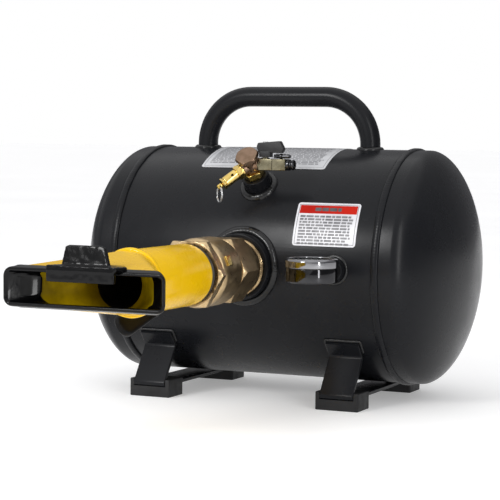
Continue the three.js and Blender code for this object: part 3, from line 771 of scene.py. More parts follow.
def add_bungs():
    outlet_face = TANK.y - low("outlet_bung").y
    gauge_face = TANK.y - low("gauge_bung").y
    gauge_origin = Vector((GAUGE.x, TANK.y, middle("gauge_stem").z))
    add_bung("outlet_collar", "outlet_bung", FORWARD, OUTLET, 35.0, 30.4, outlet_face, 10.0)
    add_bung("gauge_collar", "gauge_bung", FORWARD, gauge_origin, 13.0, 5.4, gauge_face, 4.5)
    add_bung("fitting_collar", "fitting_bung", FITTING_DIRECTION, FITTING, 14.5, 8.7,
             FITTING_SOCKET, 9.0)


# ---------------------------------------- labels

LABEL_GAP = 0.3          # the CAD label stands this far off the drum
LABEL_LIFT = 0.1
LABEL_THICK = 0.5
LABEL_CORNER = 3.0
PRINT_LIFT = 0.61        # the print lies just clear of the label's face
PRINT_THICK = 0.03


def curved_plate(x0, x1, a0, a1, lift, thickness, corner):
    """A thin plate with rounded corners, bent round the drum from angle a0 to angle a1."""
    arc = (a1 - a0) * TANK_RADIUS
    rows = []
    stations = [corner * (1 - math.cos(TURN / 4 * k / 6)) for k in range(7)]
    body = [corner + (arc - 2 * corner) * k / 24 for k in range(1, 24)]
    stations += body + [arc - s for s in reversed(stations)]
    half = (x1 - x0) / 2
    for s in stations:
        to_end = min(s, arc - s)
        cut = corner - math.sqrt(max(corner ** 2 - (corner - min(to_end, corner)) ** 2, 0))
        angle = a0 + s / TANK_RADIUS
        xs = [(x0 + x1) / 2 + (half - cut) * (k / 6 - 1) for k in range(13)]
        top = [drum_point(x, angle, lift + thickness) for x in xs]
        bottom = [drum_point(x, angle, lift) for x in reversed(xs)]
        rows.append(top + bottom)
    return skin(rows)


def label_area(node):
    """The x span and the angle span of a label on the drum."""
    first, last = low(node), high(node)
    reach = TANK_RADIUS + LABEL_GAP + LABEL_THICK
    start, end = (math.acos(max(-1, (TANK.y - y) / reach)) for y in (first.y, last.y))
    return first.x, last.x, start, end


def add_label_face(name, node, finish):
    area = label_area(node)
    face = curved_plate(*area, LABEL_LIFT, LABEL_THICK, LABEL_CORNER)
    add_piece(name, face, finish, stands_for=[node])
    return area


def printed(x0, x1, a0, a1, corner=0.1, lift=PRINT_LIFT):
    return curved_plate(x0, x1, a0, a1, lift, PRINT_THICK, corner)


def bars(x0, x1, a_top, rows, pitch, height, seed, lift=PRINT_LIFT):
    """Rows of short bars in place of printed lines."""
    draw = random.Random(seed)
    gap = 1.0
    shapes = []
    for row in range(rows):
        top = a_top - row * pitch / TANK_RADIUS
        x = x0
        end = x1 - draw.uniform(0.0, 0.12) * (x1 - x0)
        while x < end - gap:
            length = min(draw.uniform(2.2, 8.5), end - x)
            shapes.append(printed(x, x + length, top - height / TANK_RADIUS, top, 0.2, lift))
            x += length + gap
    return joined(*shapes)


def border(x0, x1, a0, a1, width):
    """A thin printed border."""
    thin = width / TANK_RADIUS
    return joined(
        printed(x0, x1, a1 - thin, a1),
        printed(x0, x1, a0, a0 + thin),
        printed(x0, x0 + width, a0 + thin, a1 - thin),
        printed(x1 - width, x1, a0 + thin, a1 - thin))


def add_warning_label():
    """A light label with a border, a red band with a dark mark in it, and rows of bars."""
    x0, x1, a0, a1 = add_label_face("front_label", "warning_label", "label")
    margin = 2.0
    step = margin / TANK_RADIUS
    header = 9.5 / TANK_RADIUS
    outline = border(x0 + margin, x1 - margin, a0 + step, a1 - step, 0.5)
    add_piece("front_label_border", outline, "label_ink")
    band_top = a1 - step * 1.5
    band = printed(x0 + margin + 1, x1 - margin - 1, band_top - header, band_top, 0.4)
    add_piece("front_label_band", band, "label_red")
    mark = bars(x0 + 20, x1 - 18, band_top - header * 0.28, 1, 4.0, 4.0, 5, PRINT_LIFT + 0.04)
    add_piece("front_label_mark", mark, "label_ink")
    text_top = band_top - header - 2.2 / TANK_RADIUS
    rows = bars(x0 + margin + 3, x1 - margin - 3, text_top, 10, 3.25, 2.25, 11)
    add_piece("front_label_bars", rows, "label_grey")


def add_top_label():
    """A silver label with a border and two columns of bars."""
    x0, x1, a0, a1 = add_label_face("top_label", "data_label", "label_silver")
    margin = 2.5
    step = margin / TANK_RADIUS
    outline = border(x0 + margin, x1 - margin, a0 + step, a1 - step, 0.45)
    add_piece("top_label_border", outline, "label_grey")
    columns = ((x0 + 7, -3, 21), (3, x1 - 7, 22))
    rows = [bars(start, end, a1 - step * 3, 30, 3.0, 1.7, seed) for start, end, seed in columns]
    add_piece("top_label_bars", joined(*rows), "label_grey")


# ---------------------------------------- feet

STRAP_THICK = 4.0
FOOT_FORWARD = 20.0      # the feet sit this far in front of the drum's axis
FOOT_REACH = 99.5
TAB_TOP = math.radians(36)       # the tabs lie on the drum between these angles below its middle
TAB_BOTTOM = math.radians(44.5)


def strap_line():
    """The strap's line across the drum, from its front tab to its rear tab, as (y, z)."""
    reach = TANK_RADIUS + STRAP_THICK / 2 + 0.8
    base = low("foot_strap_left").z + STRAP_THICK / 2
    tab = [(-reach * math.cos(a), TANK.z - reach * math.sin(a)) for a in (TAB_TOP, TAB_BOTTOM)]
    rear_tab = [(-y, z) for y, z in reversed(tab)]
    ends = [(-FOOT_FORWARD - FOOT_REACH, base), (-FOOT_FORWARD + FOOT_REACH, base)]
    return [(TANK.y + y, z) for y, z in tab + ends + rear_tab]


def add_strap(name, node):
    x = middle(node).x
    half_width = extent(node).x / 2
    line = [Vector((x, p.x, p.y)) for p in rounded(strap_line(), 4.0, 6)]
    section = pairs(rounded_rectangle(STRAP_THICK / 2, half_width, 1.0, 4))
    add_piece(name, swept(line, [X_AXIS] * len(line), section), "black_paint", stands_for=[node])
    for end, mirror in (("front", 1), ("rear", -1)):
        add_strap_weld(f"{name}_weld_{end}", x, half_width, mirror)


def add_strap_weld(name, x, half_width, mirror):
    """The bead runs up one side of the tab, across its top and down the other side."""
    top, bottom = math.radians(-35.3), math.radians(-42.5)
    out = half_width + 0.8
    corners = [(x - out, bottom), (x - out, top), (x + out, top), (x + out, bottom)]
    steps = 12
    path = []
    for (xa, aa), (xb, ab) in zip(corners, corners[1:]):
        for k in range(steps):
            t = k / steps
            point = drum_point(xa + (xb - xa) * t, aa + (ab - aa) * t, 0.6)
            point.y = TANK.y + (point.y - TANK.y) * mirror
            path.append(point)
    add_weld(name, path, drum_normal, 3.4, 1.7, looped=False, pitch=2.2, seed=x,
             ripple_depth=0.3)


def add_foot_cap(name, node):
    """A rubber block with a notch in its outer side for the bend of the strap."""
    centre, half = middle(node), extent(node) / 2
    block = slab(rounded_rectangle(half.x, half.y, 2.0, 5), 0.0, high(node).z, 0.9)
    obj = make_object(name, moved(block, Matrix.Translation((centre.x, centre.y, 0))))
    side = 1 if "rear" in node else -1
    floor = low("foot_strap_left").z - 0.3
    notch = slab(rounded_rectangle(18.9, 4.0, 0.8, 3), floor, floor + 30, 0.3)
    outer_side = centre.y + side * (half.y + 0.6)
    carve(obj, moved(notch, Matrix.Translation((centre.x, outer_side, 0))))
    settle(obj, "rubber", stands_for=[node])


def add_feet():
    for hand in ("left", "right"):
        add_strap(f"strap_{hand}", f"foot_strap_{hand}")
        for end in ("front", "rear"):
            add_foot_cap(f"rubber_cap_{end}_{hand}", f"foot_cap_{end}_{hand}")


# ---------------------------------------- outlet valve

HEX_CORNER = high("valve_end_cap").x - BALL.x
VALVE_BORE = 20.5
BALL_RADIUS = 27.5
CAVITY_RADIUS = 28.6
CASTING_RADIUS = 35.0
PIPE_RADIUS = extent("outlet_nipple").x / 2
THREAD_DEPTH = 1.3
THREAD_PITCH = 2.2


def cavity_arc(start, end):
    """The hollow round the ball, as a profile from one place along the flow to another."""
    places = (start + (end - start) * k / 16 for k in range(17))
    return [(math.sqrt(CAVITY_RADIUS ** 2 - x ** 2), x) for x in places]


def along_flow(shape):
    return placed(shape, FORWARD, BALL)


def add_outlet_nipple():
    start = BALL.y - high("outlet_nipple").y
    end = BALL.y - low("outlet_nipple").y
    collar_face = BALL.y - low("outlet_bung").y
    pipe = tube(PIPE_RADIUS - 0.4, PIPE_RADIUS - 4, start, end, 0.5, 96)
    thread = threaded(PIPE_RADIUS, THREAD_DEPTH, THREAD_PITCH, collar_face - 2,
                      collar_face + 7, PIPE_RADIUS - 3, 96)
    add_piece("nipple_pipe", along_flow(pipe), "brass", stands_for=["outlet_nipple"])
    add_piece("nipple_thread", along_flow(thread), "brass", sharp_angle=60)


def add_valve_body():
    """A casting with a hexagon at the back, a round drum in front of it, and the stem's boss."""
    back = BALL.y - high("valve_body").y
    hex_start = back + 7
    hex_end = -22.0
    seat = math.sqrt(CAVITY_RADIUS ** 2 - VALVE_BORE ** 2)
    rear = turned([(VALVE_BORE, back), (31.6, back), (31.6, hex_start), (34.4, hex_start),
                   (HEX_CORNER + 0.2, hex_start + 2.6), (HEX_CORNER + 0.2, hex_end - 2.8),
                   (33.4, hex_end), (VALVE_BORE, hex_end)], 0.5, 144, hexagon(HEX_CORNER),
                  looped=True)
    drum = turned([(31.0, hex_end - 1), (CASTING_RADIUS, hex_end + 5), (CASTING_RADIUS, 18.5),
                   (CASTING_RADIUS - 2.4, 23.5), (VALVE_BORE, 23.5)] + cavity_arc(seat, -seat)
                  + [(VALVE_BORE, hex_end - 1)], 2.2, 144, looped=True)
    boss = turned([(0, 29.5), (15.5, 29.5), (12.6, 34), (11.5, 36), (11.5, 41), (0, 41)],
                  1.2, 64)
    casting = joined(along_flow(rear), along_flow(drum), placed(boss, STEM, BALL))
    add_piece("valve_casting", casting, "cast_brass", stands_for=["valve_body"])


def add_cast_mark():
    """A plain raised pad on the right of the casting's drum."""
    pad = slab(rounded_rectangle(5.2, 5.2, 1.2, 3), 0, 2.0, 0.4)
    out = Vector((0.927, 0, 0.375)).normalized()
    centre = BALL + FORWARD * 11.5 + out * (CASTING_RADIUS - 0.45)
    add_piece("valve_cast_mark", framed(pad, FORWARD, out, centre), "bright_brass")


def add_valve_end_cap():
    front = BALL.y - low("valve_end_cap").y
    cap = hex_ring(HEX_CORNER, 28.8, 24.0, front, 2.0, 144)
    add_piece("end_cap_hex", along_flow(cap), "brass", stands_for=["valve_end_cap"])


def add_ball():
    """A ball with a bore through it, turned from the arc between the bore's two ends."""
    limit = math.acos((VALVE_BORE - 0.5) / BALL_RADIUS)
    arc = [(BALL_RADIUS * math.cos(a), BALL_RADIUS * math.sin(a))
           for a in (limit * (k / 12 - 1) for k in range(25))]
    add_piece("ball_polished", along_flow(turned(arc, 0.3, 64, looped=True)), "chrome",
              "outlet_lever", ["valve_ball"])


LEVER_DROOP = math.radians(12)
LEVER_THICK = 3.0
LEVER_SEAT = 45.6        # the lever's strap sits this far along the stem
LEVER_REACH = 124.0


def on_lever(shape):
    """Places a shape drawn with X along the lever and Z out along the stem."""
    sideways = FORWARD.cross(STEM)
    along = FORWARD * math.cos(LEVER_DROOP) + sideways * math.sin(LEVER_DROOP)
    return framed(shape, along, STEM, BALL)


def half_round(start, end, half):
    """The outline of a strip with one square end and one round end."""
    outline = [Vector((start, -half)), Vector((end - half, -half))]
    outline += [Vector((end - half + half * math.sin(a), -half * math.cos(a)))
                for a in (TURN / 2 * k / 14 for k in range(1, 14))]
    return outline + [Vector((end - half, half)), Vector((start, half))]


def add_lever():
    top = LEVER_SEAT + LEVER_THICK
    strap = slab(half_round(-12.0, LEVER_REACH, 10.0), LEVER_SEAT, top, 0.5)
    add_piece("lever_strap", on_lever(strap), "steel", "outlet_lever", ["valve_lever"])
    stem = joined(rod(5.0, 27.8, 47.0), threaded(4.9, 0.5, 1.5, 47.0, 54.5))
    add_piece("lever_stem", placed(stem, STEM, BALL), "brass", "outlet_lever", ["valve_stem"])
    nut = hex_bar(9.5, top + 0.2, 53.5, 0.9)
    add_piece("lever_lock_nut", placed(nut, STEM, BALL), "steel", "outlet_lever", ["lever_nut"])
    gland = hex_ring(10.5, 5.3, 41.0, 45.3, 0.9)
    add_piece("gland_hex", placed(gland, STEM, BALL), "brass", stands_for=["valve_gland_nut"])
    add_lever_grip(LEVER_SEAT + LEVER_THICK / 2)


def add_lever_grip(level):
    """A soft dipped sleeve: rounded all round, with a rolled lip at its open end."""
    start, half_width, half_thick = 44.0, 12.0, 4.5
    straight, tip = 72, 12
    stations = [0, 0.6, 1.5, 3, 5, 7] + list(range(12, 66, 6))
    stations += [straight + tip * math.sin(TURN / 4 * k / 10) for k in range(1, 10)]
    rings = []
    for s in stations:
        lip = 0.9 * math.exp(-((s - 1.8) / 1.6) ** 2) - (0.8 if s == 0 else 0)
        width = half_width + lip
        thick = half_thick + lip * 0.7
        if s > straight:
            bend = math.sqrt(max(1 - ((s - straight) / (tip + 0.6)) ** 2, 0.02))
            width *= bend
            thick *= 0.35 + 0.65 * bend
        ring = rounded_rectangle(width, thick, min(thick, width) * 0.92, 6)
        rings.append([Vector((start + s, p.x, level + p.y)) for p in ring])
    add_piece("lever_grip", on_lever(skin(rings)), "grip_vinyl", "outlet_lever",
              ["lever_sleeve"], 60)


# ---------------------------------------- barrel and nozzle

BARREL_RADIUS = extent("barrel_tube").x / 2
BARREL_WALL = 4.0
BARREL_START = 43.5      # the painted part of the barrel starts this far in front of the ball
FAN_START = high("nozzle_fan").y
FAN_END = low("nozzle_fan").y
SLOT_HALF_WIDTH = extent("nozzle_fan").x / 2
SLOT_HALF_HEIGHT = 16.8
SLOT_CORNER = 7.0
SLOT_STEPS = 12          # steps round each corner of the fan's outline
FAN_WALL = 2.0
DIP_NOSE = 2.0           # the depth of the dip's rounded front
FAN_STEPS = 24
THROAT = FAN_START - 19  # where the fan's inside has drawn in to the bore
BORE = 23.0


def add_barrel():
    end = BALL.y - low("barrel_tube").y
    pipe = tube(BARREL_RADIUS, BARREL_RADIUS - 2, BARREL_START, end, 0.8, 96)
    add_piece("barrel_pipe", along_flow(pipe), "yellow_paint", stands_for=["barrel_tube"])
    # A dark steel tube inside the barrel: the bare inside of the pipe, and painted shade deep in the bore.
    bore = tube(BORE + 1.3, BORE, BARREL_START, BALL.y - THROAT, 0.5, 96)
    add_piece("barrel_bore", along_flow(bore), "dark_thread")
    thread = threaded(BARREL_RADIUS - 1.2, THREAD_DEPTH, THREAD_PITCH,
                      BALL.y - high("barrel_tube").y, BARREL_START + 0.6,
                      BARREL_RADIUS - BARREL_WALL, 96)
    add_piece("barrel_thread", along_flow(thread), "dark_thread", sharp_angle=60)


def add_barrel_weld():
    node = "nozzle_weld_ring"
    centre = Vector((OUTLET.x, middle(node).y, OUTLET.z))
    ring = [centre + Vector((math.cos(a), 0, math.sin(a))) * BARREL_RADIUS for a in angles(120)]
    add_weld("barrel_weld", ring, lambda point: (point - centre).normalized(), 7.5, 2.2,
             "yellow_paint", [node], pitch=3.0, seed=3)


def slot_outline(share, corner):
    """An outline at a share of the way from a circle, at 0, to a wide slot, at 1."""
    return rounded_rectangle(share * (SLOT_HALF_WIDTH - SLOT_CORNER) + corner,
                             share * (SLOT_HALF_HEIGHT - SLOT_CORNER) + corner,
                             max(corner, 0.5), SLOT_STEPS)


def at_outlet(outline, y):
    return [Vector((OUTLET.x + p.x, y, OUTLET.z + p.y)) for p in outline]


def fan_ring(y, grow):
    """The outside of the fan, moved out by grow."""
    share = (FAN_START - y) / (FAN_START - FAN_END)
    corner = (1 - share) * BARREL_RADIUS + share * SLOT_CORNER + grow
    return at_outlet(slot_outline(share, max(corner, 1.5)), y)


def lining_ring(y, grow=0.0):
    """The inside of the fan, which draws in to the bore a little in front of the barrel."""
    share = (THROAT - y) / (THROAT - FAN_END)
    corner = (1 - share) * BORE + share * (SLOT_CORNER - FAN_WALL) + grow
    return at_outlet(slot_outline(share, corner), y)


def fan_stations(start):
    return [start + (FAN_END - start) * k / FAN_STEPS for k in range(FAN_STEPS + 1)]


def add_fan():
    """The fan, painted yellow outside; its inside takes a darker yellow, painted shade, streaked along the flow.
    """
    middle_skin = -FAN_WALL / 2
    stations = fan_stations(FAN_START)
    rings = [fan_ring(y, 0.0) for y in stations]
    rings += [fan_ring(y, middle_skin) for y in reversed(stations)]
    add_piece("fan_shell", skin(rings, looped=True), "yellow_paint", stands_for=["nozzle_fan"])
    stations = fan_stations(THROAT)
    rings = [fan_ring(y, middle_skin) for y in stations]
    rings += [lining_ring(y) for y in reversed(stations)]
    add_piece("fan_lining", skin(rings, looped=True), "shaded_inner_yellow")


def dip_ring(y, grow):
    """The fan's outside moved out by grow, or its inside where that is within the wall."""
    return lining_ring(y, grow + FAN_WALL) if grow <= -FAN_WALL else fan_ring(y, grow)


def rim_stations(depth_inside):
    """The dip's skin as (depth behind the rim, offset from the fan's outside)."""
    depth_outside = 9.0
    nose = DIP_NOSE
    outer, inner = 1.1, -FAN_WALL - 0.9
    half, centre = (outer - inner) / 2, (outer + inner) / 2
    stations = [(depth_inside - 1, -FAN_WALL / 2), (depth_outside - 0.5, -FAN_WALL / 2),
                (depth_outside, outer - 0.6)]
    for k in range(1, 9):
        depth = depth_outside + (nose - depth_outside) * k / 8
        stations.append((depth, outer + 0.5 * math.exp(-((k - 1.2) / 1.1) ** 2)))
    for k in range(1, 10):
        angle = TURN / 2 * k / 10
        stations.append((nose * (1 - math.sin(angle)), centre + half * math.cos(angle)))
    for k in range(13):
        depth = nose + (depth_inside - nose) * k / 12
        stations.append((depth, inner - 0.5 * math.exp(-((k - 10.8) / 1.1) ** 2)))
    return stations + [(depth_inside, -FAN_WALL - 0.1)]


def add_rim_dip():
    """A thick skin of plastisol over the rim, with a soft lip. It runs deeper inside."""
    front = low("nozzle_rim_dip").y
    depth_inside = high("nozzle_rim_dip").y - front
    rings = []
    for depth, grow in rim_stations(depth_inside):
        ring = []
        for j, angle in enumerate(angles(4 * (SLOT_STEPS + 1))):
            east, north = math.cos(angle), math.sin(angle)
            wave = noise.noise(Vector((east * 2.2, north * 2.2, 0.4)))
            y = front + depth + 2.4 * (wave - 0.5) * max(0.0, depth - DIP_NOSE) / depth_inside
            lump = 0.3 * noise.noise(Vector((east * 5, north * 5, y * 0.12)))
            ring.append(dip_ring(y, grow + lump)[j])
        rings.append(ring)
    add_piece("rim_plastisol", skin(rings, looped=True), "plastisol",
              stands_for=["nozzle_rim_dip"], sharp_angle=75)


def add_hook():
    """The dipped hook on the rim: a plate over the rim, a lip down its front and a tab."""
    first, last = low("rim_hook"), high("rim_hook")
    shelf = OUTLET.z + SLOT_HALF_HEIGHT + 1.2
    plate = slab([(first.x, first.y), (first.x + 3, first.y + 9), (-20, last.y), (32, last.y),
                  (last.x + 9, first.y + 12), (last.x + 3, first.y)], shelf - 1, shelf + 3.6, 0.5)
    lip = slab([(first.x, first.y), (last.x + 2, first.y), (last.x + 2, first.y + 4.5),
                (first.x, first.y + 4.5)], first.z - 1, shelf + 3, 0.3)
    tab = slab([(-20, 0), (29, 0), (22, 19), (18, 20.5), (-14, 20.5), (-17.5, 19)],
               -2.6, 2.6, 0.5)
    lean = Matrix.Rotation(math.radians(90 - 12), 4, "X")
    at = Vector((OUTLET.x, first.y + 6.0, shelf + 1))
    obj = lumpy([plate, lip, moved(tab, Matrix.Translation(at) @ lean)], 0.8, 6, 0.14, 5.0)
    obj.name = "hook_plastisol"
    settle(obj, "plastisol", stands_for=["rim_hook"])


# ---------------------------------------- gauge

DIAL_START = math.radians(225)
DIAL_SWEEP = math.radians(270)
DIAL_TICKS = 32
DIAL_NUMBERS = (0, 40, 80, 120, 160)


def on_gauge(shape):
    return moved(shape, Matrix.Translation(Vector((GAUGE.x, GAUGE.y, 0))))


def add_gauge_case():
    bottom, split = low("gauge_case").z, high("gauge_case").z
    radius = extent("gauge_case").x / 2
    inner, floor = radius - 1.5, bottom + 1.7
    cup = turned([(0, bottom), (radius - 1, bottom), (radius, bottom + 1.2), (radius, split),
                  (inner, split), (inner, floor), (0, floor)], 0.7, 96)
    # The cup's dark chrome is a painted reflection of the black drum.
    add_piece("gauge_cup", on_gauge(cup), "dark_chrome_and_painted_reflection", stands_for=["gauge_case"])
    top, seat = high("gauge_bezel").z, split + 0.3
    rim = extent("gauge_bezel").x / 2
    bezel = turned([(22.5, top), (22.5, top - 1.4), (24.8, top - 1.4), (24.8, seat), (rim, seat),
                    (rim, top - 2.4), (rim - 0.9, top - 0.8), (rim - 2.2, top)],
                   0.6, 96, looped=True)
    add_piece("gauge_bezel_ring", on_gauge(bezel), "chrome", stands_for=["gauge_bezel"])
    lens = rod(24.3, low("gauge_lens").z, high("gauge_lens").z, 0.3, 96)
    add_piece("gauge_window", on_gauge(lens), "lens", stands_for=["gauge_lens"])


def dial_direction(share):
    angle = DIAL_START - DIAL_SWEEP * share
    return Vector((math.cos(angle), math.sin(angle), 0))


def add_dial():
    face = high("gauge_dial").z
    plate = tube(24.2, 1.5, low("gauge_dial").z, face, 0.15, 96)
    add_piece("dial_plate", on_gauge(plate), "dial", stands_for=["gauge_dial"])
    ticks = []
    for k in range(DIAL_TICKS + 1):
        numbered = k % (DIAL_TICKS // 4) == 0
        start, half = (17.8, 0.32) if numbered else (19.6, 0.16)
        tick = slab([(start, -half), (21.6, -half), (21.6, half), (start, half)],
                    face, face + 0.08, 0.02)
        out = dial_direction(k / DIAL_TICKS)
        ticks.append(moved(tick, Matrix.Rotation(math.atan2(out.y, out.x), 4, "Z")))
    add_piece("dial_ticks", on_gauge(joined(*ticks)), "needle")
    for k, number in enumerate(DIAL_NUMBERS):
        add_dial_number(number, k / 4, face)


def add_dial_number(number, share, level):
    name = f"dial_number_{number}"
    curve = bpy.data.curves.new(name, "FONT")
    curve.body = str(number)
    curve.size = 4.2 * MM
    curve.extrude = 0.04 * MM
    curve.align_x = "CENTER"
    curve.align_y = "CENTER"
    source = in_scene("number_source", curve)
    bpy.context.view_layer.update()
    shown = source.evaluated_get(bpy.context.evaluated_depsgraph_get())
    mesh = bpy.data.meshes.new_from_object(shown)
    bpy.data.objects.remove(source)
    at = Vector((GAUGE.x, GAUGE.y, level + 0.05)) + dial_direction(share) * 13.6
    mesh.transform(Matrix.Translation(at * MM))
    settle(in_scene(name, mesh), "needle")


def add_needle():
    level = high("gauge_needle").z
    pointer = slab([(-6.5, -1.2), (0, -1.3), (18.5, -0.15), (18.5, 0.15), (0, 1.3), (-6.5, 1.2)],
                   level - 1.4, level - 0.7, 0.1)
    hub = rod(2.4, level - 1.8, level, 0.4, 32)
    arbor = rod(1.1, low("gauge_needle").z, level - 1, 0.1, 20)
    needle = joined(moved(pointer, Matrix.Rotation(DIAL_START, 4, "Z")), hub, arbor)
    add_piece("needle_pointer", on_gauge(needle), "needle", "gauge_needle", ["gauge_needle"])


def add_gauge_stem():
    """A round stem with a hexagon behind, and a turned socket where it meets the case."""
    start = low("gauge_stem").y - GAUGE.y
    end = high("gauge_stem").y - GAUGE.y
    origin = Vector((GAUGE.x, GAUGE.y, middle("gauge_stem").z))
    stem = joined(rod(5.0, start, end, 0.3), hex_bar(8.2, 28.5, 46.0, 0.9))
    add_piece("gauge_hex_stem", placed(stem, Y_AXIS, origin, TURN / 12), "bright_brass",
              stands_for=["gauge_stem"])
    socket = turned([(4.6, start - 1), (8.6, start - 1), (7.4, 24), (4.6, 24)], 0.8, 48,
                    looped=True)
    add_piece("gauge_socket", placed(socket, Y_AXIS, origin), "bright_brass")


# ---------------------------------------- manifold and relief valve

MANIFOLD_BASE = 151.2
HEX_SPIN = TURN / 12     # turns a hexagon from a corner in front to a flat in front


def on_fitting(shape, spin=0.0):
    return placed(shape, FITTING_DIRECTION, FITTING, spin)


def add_manifold_nipple():
    thread = threaded(8.4, 0.8, 1.6, FITTING_SOCKET - 3, FITTING_SOCKET + 1.2)
    shoulder = rod(10.3, FITTING_SOCKET + 0.2, FITTING_SOCKET + 1.4, 0.3)
    flats = hex_bar(12.2, FITTING_SOCKET + 1, MANIFOLD_BASE - 0.2, 1.0)
    nipple = joined(on_fitting(thread), on_fitting(shoulder), on_fitting(flats, HEX_SPIN))
    add_piece("manifold_hex", nipple, "bright_brass", stands_for=["manifold_nipple"])


def add_manifold():
    """A forged cross: a waist with two arms, closed on top by a hex plug."""
    base = MANIFOLD_BASE
    waist = turned([(0, base), (8.2, base), (8.8, base + 0.8), (8.8, 165.5), (9.6, 167.4),
                    (0, 167.4)], 0.6, 64)
    head = hex_bar(12.9, 166.8, 172.0, 1.3)
    arms = [placed(rod(6.9, 2, 10.6, 0.6), out, PORT) for out in (X_AXIS, RELIEF_DIRECTION)]
    cross = joined(on_fitting(waist), on_fitting(head, HEX_SPIN), *arms)
    add_piece("manifold_cross", cross, "forged_brass", stands_for=["manifold_body"])


def on_relief(shape):
    return placed(shape, RELIEF_DIRECTION, PORT)


def add_relief_valve():
    """A turned barrel with a vent hole in its side, on a hex base and under a hex cap."""
    base = joined(rod(5.5, 8.5, 14), rod(7.4, 10.6, 12.6, 0.4), hex_bar(8.0, 12.5, 18, 0.8))
    barrel = turned([(2.2, 17), (5.2, 17), (6, 18.5), (6, 33), (5.5, 34), (4.3, 34),
                     (4.3, 30.6), (4.7, 30.2), (4.7, 19.2), (2.2, 19.2)], 0.2, 64, looped=True)
    obj = make_object("relief_barrel", on_relief(barrel))
    vent = FORWARD.cross(RELIEF_DIRECTION).cross(RELIEF_DIRECTION).normalized()
    vent = -vent if vent.dot(FORWARD) < 0 else vent
    carve(obj, placed(rod(1.7, 3.4, 12, 0.1, 24), vent, PORT + RELIEF_DIRECTION * 23.5))
    settle(obj, "bright_brass", stands_for=["relief_body"])
    add_piece("relief_base", on_relief(base), "bright_brass")
    cap = joined(hex_ring(6.4, 2.1, 34.3, 36.6, 0.6), tube(4.2, 2.1, 31, 34.6))
    add_piece("relief_hex_cap", on_relief(cap), "bright_brass", stands_for=["relief_cap"])


def add_relief_stem():
    """The pull stem, with a flange under the spring and an eye for the ring at its end."""
    shank = turned([(0, 20.9), (4.2, 20.9), (4.2, 22.2), (1.6, 22.2), (1.6, 37.2), (2.5, 38),
                    (2.6, 42.2), (1.8, 43), (0, 43)], 0.3, 32)
    obj = make_object("relief_pull_stem", on_relief(shank))
    carve(obj, placed(rod(1.25, -6, 6, 0.05, 20), RING_AXIS, RING_EYE))
    settle(obj, "bright_brass", "relief_pull", ["relief_stem"])


def add_relief_spring():
    """A coil between the stem's flange and the cap, in its rest shape."""
    radius, wire, start, end, travel = 3.1, 0.4, 23.0, 30.2, 3.0
    coils, steps = 4, 96
    across = FORWARD.cross(RELIEF_DIRECTION).normalized()
    upright = RELIEF_DIRECTION.cross(across)
    turns = [TURN * coils * k / steps for k in range(steps + 1)]
    normals = [across * math.cos(turn) + upright * math.sin(turn) for turn in turns]
    path = [PORT + RELIEF_DIRECTION * (start + (end - start) * k / steps) + normal * radius
            for k, normal in enumerate(normals)]
    obj = add_piece("relief_coil", swept(path, normals, circle_section(wire, 8)), "spring_steel",
                    stands_for=["relief_spring"])
    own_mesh(obj)


def add_pull_ring():
    """A split ring of flattened wire, wound almost twice round."""
    radius = 8.2
    turns, steps = 1.92, 110
    centre = RING_EYE - Z_AXIS * radius
    normal = RING_AXIS.cross(Z_AXIS)
    path = []
    for k in range(steps + 1):
        turn = turns * k / steps
        crossing = min(max((turn - 0.86) / 0.2, 0), 1)    # where the wire moves over a layer
        angle = TURN * (turn + 0.3)
        radial = RING_AXIS * math.sin(angle) + Z_AXIS * math.cos(angle)
        path.append(centre + radial * radius + normal * (0.9 * crossing - 0.45))
    section = pairs(rounded_rectangle(0.55, 0.42, 0.3, 3))
    add_piece("split_ring", swept(path, [normal] * len(path), section), "steel", "pull_ring",
              ["pull_ring"])


# ---------------------------------------- filling valve

def on_port(shape):
    return placed(shape, X_AXIS, PORT)


def fill_block(start, end):
    return slab(rounded_rectangle(6.0, 6.0, 0.9, 4), start, end, 0.5)


def add_fill_valve():
    """Two square blocks in line, and the boss that the handle's stem comes out of."""
    stem_x = FILL_STEM.x - PORT.x
    boss = joined(rod(4.6, 5, 6.9), rod(3.4, 6.5, 7.5))
    body = joined(on_port(fill_block(stem_x - 5.7, 33.0 - PORT.x)),
                  on_port(joined(rod(5.4, 8.5, 13), rod(6.6, 11.0, 12.4))),
                  placed(boss, Z_AXIS, FILL_STEM))
    add_piece("fill_block", body, "nickel", stands_for=["fill_valve_body"])
    start = low("fill_inlet_adapter").x - PORT.x
    end = high("fill_inlet_adapter").x - PORT.x
    add_piece("inlet_block", on_port(fill_block(start, end)), "nickel",
              stands_for=["fill_inlet_adapter"])
    add_air_plug(end)


def add_air_plug(start):
    end = high("fill_inlet_plug").x - PORT.x
    plug = turned([(2, start), (5.9, start), (5.9, start + 3.4), (4.2, start + 4.0),
                   (4.2, start + 5.2), (5.4, start + 6.2), (5.4, end - 0.8), (4.8, end),
                   (2, end)], 0.3, 64, looped=True)
    add_piece("air_plug", on_port(plug), "dark_chrome_and_painted_reflection", stands_for=["fill_inlet_plug"])


def add_stop_pin():
    """A pin with a collar, lying along the top of the inlet block."""
    pin = turned([(0, 28.5), (2.2, 28.5), (2.2, 44.5), (1.3, 46), (0, 46)], 0.4, 32)
    collar = rod(2.9, 34.0, 36.5, 0.3, 32)
    lug = slab(rounded_rectangle(2.2, 2.3, 0.6, 3), 28.0, 31.0, 0.3)
    raised = PORT + Z_AXIS * 8.7
    add_piece("stop_pin", placed(joined(pin, collar, lug), X_AXIS, raised), "dark_chrome_and_painted_reflection",
              stands_for=["fill_stop_pin"])


